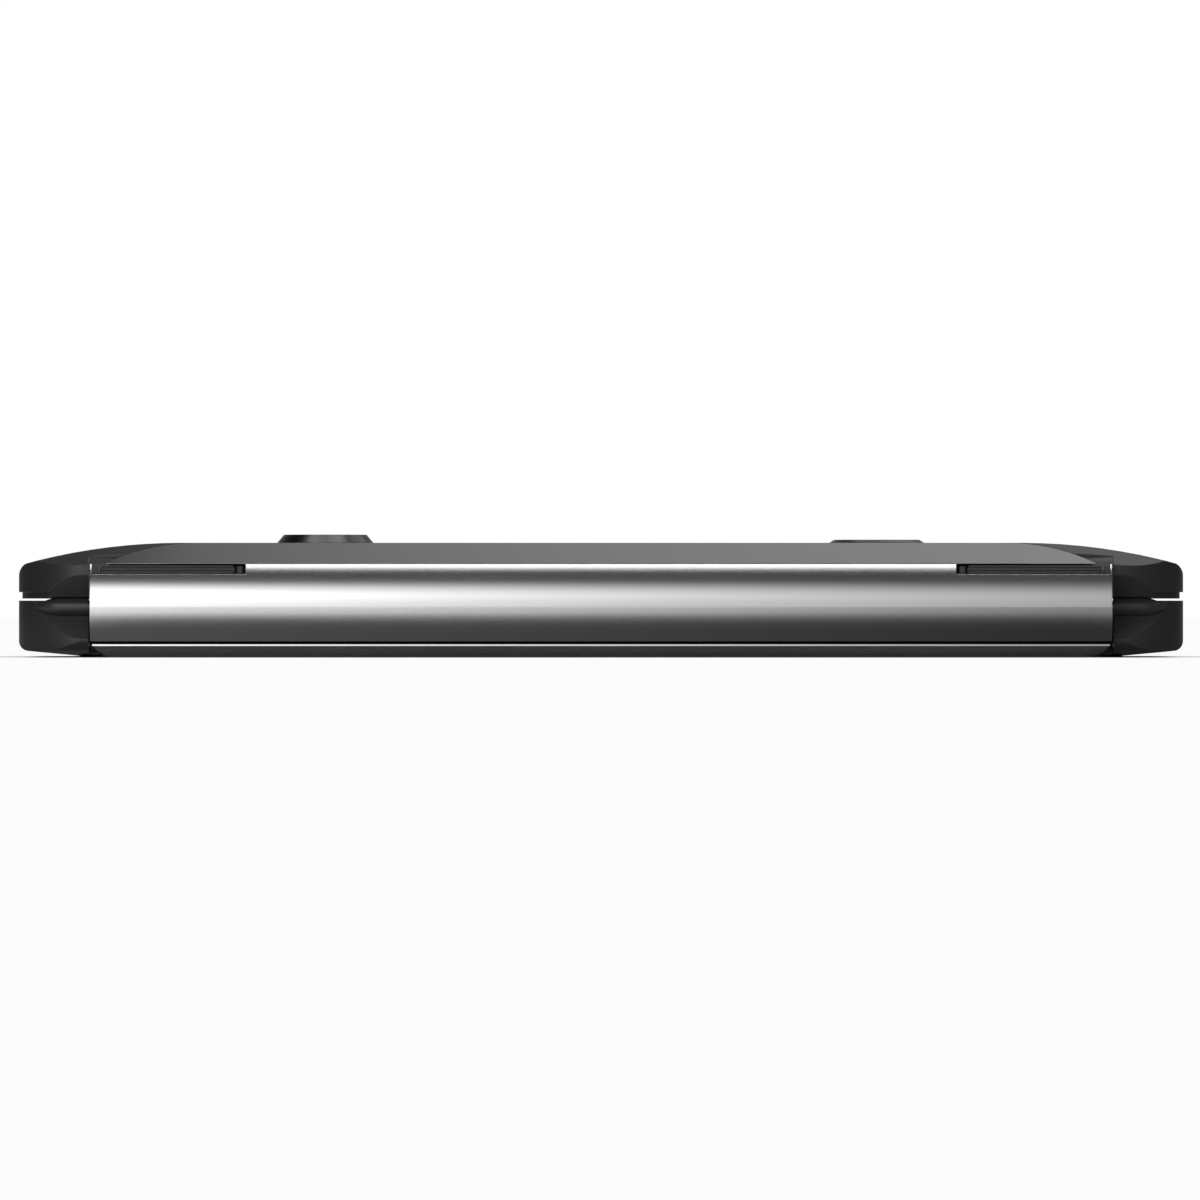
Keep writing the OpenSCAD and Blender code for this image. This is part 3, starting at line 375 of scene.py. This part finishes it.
# %% [markdown]
# ## Making pieces
# Each piece is a mesh under construction, built of closed rings of points: a key, a lens or a rubber strip is
# a stack of rings with faces between each two and a face over each end. Where the rings lie close together
# the form turns tightly, so a soft edge is only a few rings more. Every finished object stays at the origin
# with its place in its mesh, as the frame's own solids do, so a pattern reads the same place on each of them.

# %% From rings to a piece
weld = 0.0005 * mm


def skinned(build, rings):
    """Adds a closed solid whose skin passes through the rings, which all have the same number of points."""
    made = [[build.verts.new(point) for point in ring] for ring in rings]
    for below, above in zip(made, made[1:]):
        for i in range(len(below)):
            j = (i + 1) % len(below)
            build.faces.new((below[i], below[j], above[j], above[i]))
    build.faces.new(made[0])
    build.faces.new(made[-1])


def placed(name, data, finish, body, smooth=30):
    """Makes the object of a finished mesh: its finish, its body, and smooth shading under an angle."""
    data.materials.clear()
    data.materials.append(finish)
    data.shade_smooth()
    data.set_sharp_from_angle(angle=math.radians(smooth))
    piece = bpy.data.objects.new(name, data)
    bpy.context.scene.collection.objects.link(piece)
    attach(piece, body)
    return piece


def closed(name, build):
    """Welds a mesh under construction, turns its faces outward and hands back the finished mesh."""
    bmesh.ops.remove_doubles(build, verts=build.verts, dist=weld)
    bmesh.ops.recalc_face_normals(build, faces=build.faces)
    data = bpy.data.meshes.new(name)
    build.to_mesh(data)
    build.free()
    return data


def finished(name, build, finish, body, smooth=30):
    """Closes a mesh under construction and makes its object."""
    return placed(name, closed(name, build), finish, body, smooth)


def rounded_ring(width, depth, corner, height, steps=5):
    """A level rounded rectangle round the origin."""
    points = []
    for quarter, (side, end) in enumerate(((1, 1), (-1, 1), (-1, -1), (1, -1))):
        for step in range(steps + 1):
            turn = (quarter + step / steps) * math.pi / 2
            points.append((side * (width / 2 - corner) + corner * math.cos(turn),
                end * (depth / 2 - corner) + corner * math.sin(turn), height))
    return points


def round_ring(radius, height, centre=(0, 0), steps=48):
    turns = [2 * math.pi * i / steps for i in range(steps)]
    return [(centre[0] + radius * math.cos(t), centre[1] + radius * math.sin(t), height) for t in turns]


print("piece helpers are ready")

# %% [markdown]
# ### Patterns with Geometry Nodes
# Keys, screws and feet repeat along a line or a grid, which is a rule, and Geometry Nodes hold rules: one
# mesh goes in, points are laid out by named sizes, and a copy lands on each point. The tree makes the copies
# real at its end, and the result is kept as a plain mesh, so that nothing depends on the modifier later.

# %% A pattern and its run
def pattern(name, sizes):
    """Starts a tree whose group inputs have the given names and kinds, and hands back its sockets."""
    group = bpy.data.node_groups.new(name, "GeometryNodeTree")
    group.interface.new_socket("Geometry", in_out="INPUT", socket_type="NodeSocketGeometry")
    for label, kind in {**sizes, "Finish": "Material"}.items():
        group.interface.new_socket(label, in_out="INPUT", socket_type="NodeSocket" + kind)
    group.interface.new_socket("Geometry", in_out="OUTPUT", socket_type="NodeSocketGeometry")
    tree = Tree(group)
    given = tree.node("NodeGroupInput").socket.node
    return group, tree, {socket.name: Value(tree, socket) for socket in given.outputs if socket.name}


def end_pattern(tree, points, given):
    """Puts the incoming mesh on each point, makes the copies real and gives them their finish."""
    copies = tree.node("GeometryNodeInstanceOnPoints", None, {"Points": points, "Instance": given["Geometry"]})
    real = tree.node("GeometryNodeRealizeInstances", None, {"Geometry": copies})
    dressed = tree.node("GeometryNodeSetMaterial", None, {"Geometry": real, "Material": given["Finish"]})
    tree.node("NodeGroupOutput", None, {0: dressed})


def repeated(name, build, group, sizes, finish, body, smooth=30):
    """Runs a pattern on a mesh under construction and keeps the result as a plain mesh."""
    carrier = bpy.data.objects.new(name + "_carrier", closed(name + "_one", build))
    bpy.context.scene.collection.objects.link(carrier)
    modifier = carrier.modifiers.new("pattern", "NODES")
    modifier.node_group = group
    for item in group.interface.items_tree:
        if item.in_out == "INPUT" and item.name != "Geometry":
            modifier[item.identifier] = finish if item.name == "Finish" else sizes[item.name]
    graph = bpy.context.evaluated_depsgraph_get()
    data = bpy.data.meshes.new_from_object(carrier.evaluated_get(graph))
    carrier.modifiers.clear()
    bpy.data.objects.remove(carrier)
    print(name, "has", len(data.polygons), "faces")
    return placed(name, data, finish, body, smooth)


row_of, tree, given = pattern("row of keys", {"Count": "Int", "First": "Vector", "Pitch": "Float",
    "Gap after": "Int", "Gap": "Float"})
step = tree.node("ShaderNodeCombineXYZ", None, {"X": given["Pitch"]})
line = tree.node("GeometryNodeMeshLine", None, {
    "Count": given["Count"], "Start Location": given["First"], "Offset": step})
past = given["Gap"] * (tree.node("GeometryNodeInputIndex") > given["Gap after"] - 0.5)
moved = tree.node("ShaderNodeCombineXYZ", None, {"X": past})
end_pattern(tree, tree.node("GeometryNodeSetPosition", None, {"Geometry": line, "Offset": moved}), given)

grid_of, tree, given = pattern("grid with a bare middle", {"Columns": "Int", "Rows": "Int", "Width": "Float",
    "Depth": "Float", "Centre": "Vector", "Bare half": "Float"})
grid = tree.node("GeometryNodeMeshGrid", None, {"Size X": given["Width"], "Size Y": given["Depth"],
    "Vertices X": given["Columns"], "Vertices Y": given["Rows"]}, "Mesh")
across = tree.node("ShaderNodeSeparateXYZ", None, {0: tree.node("GeometryNodeInputPosition")}, "X")
kept = tree.node("GeometryNodeDeleteGeometry", {"domain": "POINT"}, {
    "Geometry": grid, "Selection": across.size() < given["Bare half"]})
end_pattern(tree, tree.node("GeometryNodeSetPosition", None, {"Geometry": kept, "Offset": given["Centre"]}), given)
print("patterns:", row_of.name, "and", grid_of.name)

# %% [markdown]
# ## The keyboard
# Fifty-six keys stand in five rows. A real key cap has a soft edge all round and a shallow dish for the
# finger, which the plain solid of the frame leaves out. One cap is skinned from nine rings, and each row is a
# run of the row pattern, so a row moves as one body just as in the frame.

# %% Key caps
row_low, row_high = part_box("number_keys")
row_columns = 12
key_gap = 1.0 * mm
key_pitch = (row_high.x - row_low.x + key_gap) / row_columns
key_depth = row_high.y - row_low.y
key_corner = 1.2 * mm
cap_top = row_high.z
cap_t = 1.1 * mm
stem_r = 1.0 * mm
dish = 0.16 * mm
no_gap = 99


def key_cap(columns):
    """A cap over the given number of columns, with a stem under its middle or two under a wide one."""
    build = bmesh.new()
    width = columns * key_pitch - key_gap
    low = cap_top - cap_t
    levels = ((0.1, low), (0.0, low + 0.12 * mm), (0.0, cap_top - 0.42 * mm), (0.05, cap_top - 0.2 * mm),
        (0.17, cap_top - 0.06 * mm), (0.36, cap_top), (0.8, cap_top - 0.3 * dish), (2.2, cap_top - 0.8 * dish),
        (3.8, cap_top - dish))
    skinned(build, [rounded_ring(width - 2 * inset * mm, key_depth - 2 * inset * mm,
        max(key_corner - inset * mm, 0.4 * mm), height) for inset, height in levels])
    reach = (columns - 1) / 2 * key_pitch
    for x in {-reach, reach}:
        skinned(build, [round_ring(stem_r, z, (x, 0), 16) for z in (row_low.z, low + 0.1 * mm)])
    return build


def key_row(node, body, count, columns=1, gap_after=no_gap, gap=0):
    """Replaces the keys of a node. A row can have a gap, as many columns wide as gap says, after some keys."""
    low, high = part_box(node)
    first = (low.x + (columns * key_pitch - key_gap) / 2, (low.y + high.y) / 2, 0.0)
    sizes = {"Count": count, "First": first, "Pitch": key_pitch, "Gap after": gap_after, "Gap": gap * key_pitch}
    keys = repeated(node + "_dished", key_cap(columns), row_of, sizes, finishes["key_plastic"], body)
    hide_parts(node)


key_row("number_keys", "number_row", row_columns)
key_row("upper_letter_keys", "upper_row", row_columns)
key_row("middle_letter_keys", "middle_row", 11)
key_row("enter_key", "enter", 1)
key_row("lower_letter_keys", "lower_row", row_columns)
key_row("bottom_keys", "bottom_row", 7, gap_after=3, gap=5.0)
key_row("space_bar", "space", 1, columns=5)

# %% [markdown]
# ### Legends
# Legends are printed or lasered on the caps in pale grey. They could be painted by a texture, but a letter is
# sharper and survives any export as thin geometry: a text curve is turned into a mesh, and then moved to its
# key. Each row's legends are one piece, which rides with its row.

# %% Legend finish and letters
legend_ink = Finish("pale grey legend ink", ior=1.45)
speckle = legend_ink.noise(0.08 * mm, detail=3.0)
ink = legend_ink.mix(speckle, grey(0.42), grey(0.52))
legend_ink.finish(ink, 0.55 + speckle * 0.15, legend_ink.grain(speckle, 0.001 * mm))
legend_top = cap_top - 0.09 * mm
legend_t = 0.12 * mm
letter_size = 4.2 * mm
word_size = 2.9 * mm
arrow_r = 0.9 * mm


def add_word(build, word, x, y):
    """Adds a word, or a small arrow head for one of < > ^ v, centred on its place."""
    if word in "<>^v":
        turn = {">": 0, "^": 90, "<": 180, "v": 270}[word]
        corners = [(arrow_r * math.cos(math.radians(turn + a)), arrow_r * math.sin(math.radians(turn + a)))
            for a in (0, 120, 240)]
        skinned(build, [[(x + a, y + b, z) for a, b in corners] for z in (legend_top - legend_t, legend_top)])
        return
    curve = bpy.data.curves.new("legend", "FONT")
    curve.body = word
    curve.size = letter_size if len(word) == 1 else word_size
    curve.align_x = "CENTER"
    curve.align_y = "CENTER"
    curve.extrude = legend_t / 2
    curve.resolution_u = 3
    written = bpy.data.objects.new("legend", curve)
    bpy.context.scene.collection.objects.link(written)
    graph = bpy.context.evaluated_depsgraph_get()
    data = bpy.data.meshes.new_from_object(written.evaluated_get(graph))
    bpy.data.objects.remove(written)
    data.transform(Matrix.Translation((x, y, legend_top - legend_t / 2)))
    build.from_mesh(data)
    bpy.data.meshes.remove(data)


def legends(node, body, words, columns=()):
    """Writes one word over each key of a node. Where a row has a gap, columns says where its words stand."""
    low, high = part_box(node)
    build = bmesh.new()
    for i, word in enumerate(words):
        column = columns[i] if columns else i
        add_word(build, word, low.x + (key_pitch - key_gap) / 2 + column * key_pitch, (low.y + high.y) / 2)
    finished(node + "_legends", build, legend_ink.material, body, 20)


legends("number_keys", "number_row", list("1234567890-="))
legends("upper_letter_keys", "upper_row", ["Tab", *"QWERTYUIOP", "Del"])
legends("middle_letter_keys", "middle_row", ["Caps", *"ASDFGHJKL;"])
legends("enter_key", "enter", ["Enter"])
legends("lower_letter_keys", "lower_row", ["Shift", *"ZXCVBNM,.", "^", "Shift"])
legends("bottom_keys", "bottom_row", ["Ctrl", "Fn", "Alt", "Alt", "<", "v", ">"], (0, 1, 2, 8, 9, 10, 11))
print("legends are written")

# %% [markdown]
# ## Behind: the rubber strips and the bright edge
# When the device stands open, it rests on two rubber strips let into the top of the spine. Each is a bar with
# two fine grooves along it and slanted ends, held between two small blocks. Its section follows the curve of
# the spine, so its rings are drawn as angles and radii about the centre of that curve.

# %% Rubber strips
curve_y, curve_z, curve_r = 30.72 * mm, 7.4 * mm, 8.93 * mm
strip_in = 7.95 * mm
strip_angles = (32.9, 44.0)


def strip_ring(x, skin, slant=0.0):
    """A ring across the strip at x. skin holds (share of the height, radius) pairs, and slant moves its middle."""
    low, high = strip_angles
    points = [(share, curve_r + proud * mm) for share, proud in skin] + [(1.0, strip_in), (0.0, strip_in)]
    ring = []
    for share, radius in points:
        angle = math.radians(low + share * (high - low))
        lean = slant * (1 - abs(2 * share - 1))
        ring.append((x + lean, curve_y + radius * math.cos(angle), curve_z + radius * math.sin(angle)))
    return ring


bar_skin = ((0.0, -0.25), (0.06, -0.02), (0.12, 0.03), (0.26, 0.03), (0.3, -0.12), (0.36, -0.12), (0.4, 0.03),
    (0.62, 0.03), (0.66, -0.12), (0.72, -0.12), (0.76, 0.03), (0.88, 0.03), (0.94, -0.02), (1.0, -0.25))
block_skin = ((0.0, -0.3), (0.1, -0.12), (0.3, -0.06), (0.7, -0.06), (0.9, -0.12), (1.0, -0.3))
for side, node in ((1, "foot_strip_right"), (-1, "foot_strip_left")):
    low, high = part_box(node)
    inner, outer = sorted((abs(low.x), abs(high.x)))
    build = bmesh.new()
    slopes = ((inner + 1.35 * mm, -0.35 * mm, -0.2), (inner + 1.5 * mm, -0.35 * mm, 0.0),
        (outer - 1.1 * mm, 0.35 * mm, 0.0), (outer - 0.95 * mm, 0.35 * mm, -0.2))
    skinned(build, [strip_ring(side * x, [(share, proud + drop) for share, proud in bar_skin], side * slant)
        for x, slant, drop in slopes])
    for start, end in ((inner, inner + 0.8 * mm), (outer - 0.42 * mm, outer + 0.7 * mm)):
        skinned(build, [strip_ring(side * x, [(share, proud + drop) for share, proud in block_skin])
            for x, drop in ((start, -0.1), (start + 0.08 * mm, 0), (end - 0.08 * mm, 0), (end, -0.1))])
    strip = finished(node + "_grooved", build, finishes["rubber"], "lid", 25)
    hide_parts(node)
print("rubber strips: 2")

# %% [markdown]
# ### The painted highlight along the edge of the bottom plate
# The bottom plate ends behind in a rolled flange under the spine. Along its upper corner lies a thin strip of pale,
# smooth metal, a painted highlight that shows as one thin light line along the whole width. The rest of the plate
# stays painted.

# %% Painted highlight strip, and the grey painted plate
plate_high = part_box("base_plate")[1]
spine_low, spine_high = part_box("spine_shell")
edge_end = 0.1 * mm
edge_skin = [(-0.12, -0.34), (0.03, -0.34), (0.05, -0.32), (0.05, -0.08), (0.03, -0.05), (-0.12, -0.05)]
build = bmesh.new()
skinned(build, [[(x, plate_high.y + y * mm, plate_high.z + z * mm) for y, z in edge_skin]
    for x in (spine_low.x + edge_end, spine_high.x - edge_end)])
# The pale, nearly mirror-smooth metal of this strip is a painted highlight on the plate's upper corner.
highlight_strip_metal = blasted("painted highlight strip metal", 0.85, 0.12, radius=0.01 * mm)
finished("plate_painted_highlight_strip", build, highlight_strip_metal, "base")

painted = moulded("grey painted metal", 0.24, 0.42, grain=0.2 * mm)
nodes["base_plate"].data.materials[0] = painted
print("edge from", round(spine_low.x / mm, 2), "to", round(spine_high.x / mm, 2), "mm")

# %% [markdown]
# ## On the cover: camera, flash and button
# A lens is a stack of rings seen through glass, and the flash is a pale lens with fine concentric ridges. Both
# are turned parts, so they are skinned from round rings. The button beside them is slightly hollow on top, so
# that a finger finds it, and keeps the sloping side of the frame's solid.

# %% Turned parts
def turned(name, node, profile, finish, body, smooth=30):
    """A turned part on the axis of a node. The profile has (radius, height over the node's foot) in mm."""
    low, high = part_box(node)
    centre = ((low.x + high.x) / 2, (low.y + high.y) / 2)
    build = bmesh.new()
    skinned(build, [round_ring(radius * mm, low.z + height * mm, centre) for radius, height in profile])
    part = finished(name, build, finish, body, smooth)
    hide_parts(node)


def tall(node):
    """The height and the radius of a round node, in mm."""
    low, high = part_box(node)
    return (high.z - low.z) / mm, (high.x - low.x) / 2 / mm


lens_h, lens_r = tall("camera_lens")
lens_profile = [(lens_r, 0.0), (lens_r, lens_h - 0.06), (lens_r - 0.06, lens_h), (3.3, lens_h), (3.22, lens_h - 0.1),
    (2.9, lens_h - 0.12), (2.82, lens_h - 0.24), (2.45, lens_h - 0.26), (2.35, lens_h - 0.4), (1.75, lens_h - 0.42),
    (1.68, lens_h - 0.34), (1.3, lens_h - 0.27), (0.8, lens_h - 0.21), (0.3, lens_h - 0.185), (0.02, lens_h - 0.18)]
turned("camera_lens_rings", "camera_lens", lens_profile, finishes["screen_glass"], "lid", 25)

flash_h, flash_r = tall("camera_flash")
flash_profile = [(flash_r, 0.0), (flash_r, flash_h - 0.05), (flash_r - 0.05, flash_h)]
for ridge in range(5):
    radius = flash_r - 0.25 - ridge * 0.38
    flash_profile += [(radius, flash_h - 0.02), (radius - 0.05, flash_h - 0.1), (radius - 0.32, flash_h - 0.02)]
flash_profile += [(0.05, flash_h - 0.03)]
turned("camera_flash_ridged", "camera_flash", flash_profile, finishes["flash_lens"], "lid", 20)
print("lens and flash radius in mm:", round(lens_r, 2), round(flash_r, 2))

# %% [markdown]
# The fingerprint reader is also a push button. Its disc of dark metal keeps the sloping rim of the frame's
# solid, and a finger finds it by the shallow dish inside the rim. The stem under the disc reaches its switch.

# %% Dished button
button_h, button_r = tall("fingerprint_button")
disc_foot = button_h - 1.0
button_stem_r = 1.5
button_profile = [(0.02, 0.0), (button_stem_r, 0.0), (button_stem_r, disc_foot), (button_r, disc_foot),
    (button_r, button_h - 0.45), (button_r - 0.66, button_h - 0.02), (button_r - 0.74, button_h),
    (button_r - 1.1, button_h), (button_r - 1.25, button_h - 0.05), (button_r - 1.7, button_h - 0.12),
    (button_r - 3.2, button_h - 0.2), (button_r - 5.0, button_h - 0.24), (0.02, button_h - 0.25)]
turned("fingerprint_button_dished", "fingerprint_button", button_profile, finishes["dark_metal"],
    "fingerprint_button", 25)
print("button radius in mm:", round(button_r, 2))

# %% [markdown]
# ## Under the base: screws and feet
# Eight screws with six-lobed sockets hold the bottom plate, in two rows of four with the middle left bare. The
# head and its socket are one stack of rings, where the rings of the socket are lobed, and the grid pattern
# sets the copies out. The four rubber feet are long pads with a softened rim, set out by the same pattern.

# %% Screws and feet
def lobed_ring(radius, height, depth=0.17, steps=48):
    """A level ring with six lobes, for a socket."""
    turns = [2 * math.pi * i / steps for i in range(steps)]
    reach = [radius * (1 - depth + depth * math.cos(6 * t)) for t in turns]
    return [(r * math.cos(t), r * math.sin(t), height) for r, t in zip(reach, turns)]


screws_low, screws_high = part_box("base_screws")
head_r, shank_r, socket_r = 1.5 * mm, 0.7 * mm, 0.7 * mm
head_edge = 0.1 * mm
head_face = screws_low.z
head_back = head_face + 0.43 * mm
screw = bmesh.new()
skinned(screw, [round_ring(shank_r, screws_high.z), round_ring(shank_r, head_back), round_ring(head_r, head_back),
    round_ring(head_r, head_face + head_edge), round_ring(head_r - head_edge, head_face),
    lobed_ring(socket_r, head_face), lobed_ring(socket_r - 0.05 * mm, head_face + 0.28 * mm)])
middle = (screws_low + screws_high) / 2
screw_sizes = {"Columns": 5, "Rows": 2, "Width": screws_high.x - screws_low.x - 2 * head_r,
    "Depth": screws_high.y - screws_low.y - 2 * head_r, "Centre": (middle.x, middle.y, 0.0), "Bare half": 5 * mm}
screws = repeated("base_screws_lobed", screw, grid_of, screw_sizes, finishes["dark_screws"], "base")
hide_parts("base_screws")

pads_low, pads_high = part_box("foot_pads")
pad_w, pad_l = 3.4 * mm, 14 * mm
pad_levels = ((0.0, 0.2), (0.0, 0.12), (0.04, 0.05), (0.14, 0.01), (0.3, 0.0))
pad = bmesh.new()
skinned(pad, [rounded_ring(pad_w - 2 * inset * mm, pad_l - 2 * inset * mm, pad_w / 2 - inset * mm - 0.01 * mm,
    pads_low.z + height * mm, 8) for inset, height in pad_levels])
middle = (pads_low + pads_high) / 2
pad_sizes = {"Columns": 2, "Rows": 2, "Width": pads_high.x - pads_low.x - pad_w,
    "Depth": pads_high.y - pads_low.y - pad_l, "Centre": (middle.x, middle.y, 0.0), "Bare half": 0.0}
feet = repeated("foot_pads_soft", pad, grid_of, pad_sizes, finishes["rubber"], "base")
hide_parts("foot_pads")

# %% [markdown]
# ### Contacts in the ports
# Each port's tongue carries twelve gilded contacts on each face, half a millimetre apart. They stand proud of
# the tongue by a few hundredths of a millimetre, and show when a port is looked into from the end.

# %% Port contacts
gilded = blasted("gilded contacts", 0.62, 0.22, radius=0.01 * mm, warmth=0.38)
contact_count = 12
contact_pitch = 0.5 * mm
contact_w = 0.28 * mm
tongue_t = 0.7 * mm
contact_t = 0.04 * mm
for side, node in ((1, "usb_port_right"), (-1, "usb_port_left")):
    low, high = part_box(node)
    mouth = max(abs(low.x), abs(high.x))
    ends = ((mouth - 5.4 * mm, 0.3), (mouth - 5.2 * mm, 1.0), (mouth - 1.6 * mm, 1.0), (mouth - 1.35 * mm, 0.3))
    middle = (low + high) / 2
    build = bmesh.new()
    for face in (-1, 1):
        foot = middle.z + face * (tongue_t / 2 - contact_t / 2)
        top = middle.z + face * (tongue_t / 2 + contact_t)
        for i in range(contact_count):
            y = middle.y + (i - (contact_count - 1) / 2) * contact_pitch
            skinned(build, [[(side * x, y + across * share * contact_w / 2, z)
                for across, z in ((-1, foot), (1, foot), (1, top), (-1, top))] for x, share in ends])
    finished(node + "_contacts", build, gilded, "base", 20)
print("contacts in two ports:", 4 * contact_count)

# %% [markdown]
# ## The plain studio
# The photograph shows the closed device level from behind on white, through a long lens, so that its outline
# is nearly a straight elevation. The camera stands far away on +Y, a little above the table, and a long focal
# length gives the frame its real width.

# %% Camera
frame_w = 176.1 * mm
camera_reach = 2.75
camera_x = 0.15 * mm
camera_z = 8.44 * mm
spine_face_y = cad_box[1].y
aimed_y = spine_face_y - 4 * mm

camera_data = bpy.data.cameras.new("camera")
camera_data.sensor_width = 36
camera_data.lens = camera_data.sensor_width * camera_reach / frame_w
camera_data.clip_end = 50
camera = bpy.data.objects.new("camera", camera_data)
camera.location = (camera_x, aimed_y + camera_reach, camera_z)
camera.rotation_euler = (math.radians(90), 0, math.radians(180))
bpy.context.scene.collection.objects.link(camera)
bpy.context.scene.camera = camera
bpy.context.scene.view_settings.view_transform = "Standard"
print("lens in mm:", round(camera_data.lens, 1))

# %% [markdown]
# The background is white to the camera and through glass. Gloss doesn't see that white. It sees a graded sky,
# grey near the horizon, darker overhead and towards both sides, as in a room whose only bright things are its
# lamps. Without that, black plastic would mirror white all round and look grey.

# %% World
def seen_directly(tree):
    """1 for rays from the camera and for rays that gloss or glass send out, and 1 for the glossy ones alone."""
    camera_ray = tree.node("ShaderNodeLightPath", output="Is Camera Ray")
    glossy_ray = camera_ray.beside("Is Glossy Ray")
    through_glass = camera_ray.beside("Is Transmission Ray")
    return camera_ray.math("MAXIMUM", glossy_ray).math("MAXIMUM", through_glass), glossy_ray


world = bpy.data.worlds.new("studio")
world.use_nodes = True
bpy.context.scene.world = world
sky = Tree(world.node_tree)
sky.nodes.clear()
direct, glossy = seen_directly(sky)
sideways = sky.node("ShaderNodeSeparateXYZ", None, {0: sky.node("ShaderNodeTexCoord", output="Generated")}, "X")
height = sideways.beside("Z")
horizon = 0.38
fill_light = 0.5
falloff = sky.node("ShaderNodeValToRGB", {"stops": ((0.0, horizon), (0.25, 0.9 * horizon), (0.45, 0.5 * horizon),
    (0.6, 0.08), (0.8, 0.02), (1.0, 0.02))}, {0: height})
dimmed = sky.mix((sideways * sideways * 1.3).math("MINIMUM", 0.9), falloff, grey(0.0))
ceiling = sky.mix(glossy, (1, 1, 1, 1), dimmed)
light = sky.mix(direct, grey(fill_light), ceiling)
backdrop = sky.node("ShaderNodeBackground", None, {"Color": light, "Strength": 1.0})
sky.node("ShaderNodeOutputWorld", None, {"Surface": backdrop})
print("world nodes:", len(sky.nodes))

# %% [markdown]
# The floor is a white sheet whose glow has the object's shadow painted in by ambient occlusion. To gloss the
# glow also carries a painted pool of light, brightest towards +X under the bright side of the key and fading
# past both ends, and a painted shadow, nearly dark under the object. The low half of the spine mirrors this pool.

# %% Floor
floor_size = 12.0
shadow_reach, gloss_reach = 0.015, 0.065
pool_middle, pool_slope = 0.88, 7.5
pool_least, pool_most = 0.35, 1.5
fade_from, fade_to = 0.082, 0.14
floor_mesh = bmesh.new()
bmesh.ops.create_grid(floor_mesh, x_segments=1, y_segments=1, size=floor_size / 2)
floor_data = bpy.data.meshes.new("floor")
floor_mesh.to_mesh(floor_data)
floor_mesh.free()
floor = bpy.data.objects.new("floor", floor_data)
bpy.context.scene.collection.objects.link(floor)

floor_material = bpy.data.materials.new("white studio floor")
floor_material.use_nodes = True
ground = Tree(floor_material.node_tree)
ground.nodes.clear()
direct, glossy = seen_directly(ground)
# Painted shadow: the glow darkens with ambient occlusion, much more steeply for gloss, so it is nearly dark under the
# object.
reach = shadow_reach + glossy * gloss_reach
open_sky = ground.node("ShaderNodeAmbientOcclusion", {"samples": 8}, {"Distance": reach}, "AO")
shade = open_sky ** (0.8 + glossy * 12.0)
# The painted pool of light: to gloss the glow is brighter towards +X and fades past both ends of the object.
across = ground.node("ShaderNodeSeparateXYZ", None, {0: ground.node("ShaderNodeTexCoord", output="Object")}, "X")
faded = 1 - across.size().limited(fade_from, fade_to)
painted_pool = (pool_middle + across * pool_slope).math("MAXIMUM", pool_least).math("MINIMUM", pool_most) * faded
level = (shade + glossy * 0.07) * (1 - glossy + glossy * painted_pool)
glow = ground.node("ShaderNodeEmission", None, {"Color": grey(1.0), "Strength": 0.02 + level * 0.95})
matt = ground.node("ShaderNodeBsdfDiffuse", None, {"Color": grey(0.8)})
surface = ground.node("ShaderNodeMixShader", None, {0: direct, 1: matt, 2: glow})
ground.node("ShaderNodeOutputMaterial", None, {"Surface": surface})
floor_data.materials.append(floor_material)
print("floor side in metres:", floor_size)

# %% [markdown]
# The satin spine mirrors the key lamp, so the key's own grading draws the highlight: brighter towards +X and
# brightest at a third of its height, like a cloth that is lit from behind. A box high above brings out the
# sloping bands of the lid, and one in front lifts the grey side.

# %% Lamps
def soft_box(name, width, height, brightness, place, target):
    """A rectangular lamp whose face has the given radiance, turned to its target."""
    data = bpy.data.lights.new(name, "AREA")
    data.shape = "RECTANGLE"
    data.size = width
    data.size_y = height
    data.energy = brightness * math.pi * width * height
    lamp = bpy.data.objects.new(name, data)
    lamp.location = place
    lamp.rotation_euler = (Vector(target) - Vector(place)).to_track_quat("-Z", "Y").to_euler()
    lamp.visible_camera = False
    bpy.context.scene.collection.objects.link(lamp)
    return lamp


def graded_cloth(lamp, steepness, brightest, tiers):
    """Grades a lamp's cloth: steeply brighter towards +X, up to brightest, and over its height by tiers of a ramp."""
    lamp.data.use_nodes = True
    cloth = Tree(lamp.data.node_tree)
    cloth.nodes.clear()
    face = cloth.node("ShaderNodeNewGeometry", output="Parametric")
    along = cloth.node("ShaderNodeSeparateXYZ", None, {0: face}, "X")
    up = along.beside("Y")
    rise = cloth.node("ShaderNodeMath", {"operation": "POWER"}, {0: steepness, 1: 0.5 - along})
    rise = rise.math("MINIMUM", brightest)
    tone = cloth.node("ShaderNodeValToRGB", {"stops": tiers}, {0: up})
    light = cloth.node("ShaderNodeEmission", None, {"Color": tone, "Strength": rise})
    cloth.node("ShaderNodeOutputLight", None, {"Surface": light})


key_y = spine_face_y + 0.36
key_w, key_h = 0.44, 0.4
key_z = key_h / 2 + 0.002
key_steepness, key_brightest = 120.0, 3.8
key_tiers = ((0.0, 0.26), (0.15, 0.56), (0.32, 0.98), (0.45, 0.97), (0.57, 0.78), (0.71, 0.54), (0.89, 0.27),
    (1.0, 0.15))
key = soft_box("graded key behind the camera side", key_w, key_h, 1.05, (0, key_y, key_z), (0, 0, key_z))
graded_cloth(key, key_steepness, key_brightest, key_tiers)
soft_box("overhead box", 0.9, 0.25, 3.4, (0, 0.04, 0.9), (0, 0, 0))
soft_box("front box on the grey side", 0.54, 0.3, 1.0, (-0.18, -0.28, 0.39), (0, 0, 0.01))
print("lamps:", len(bpy.data.lights))
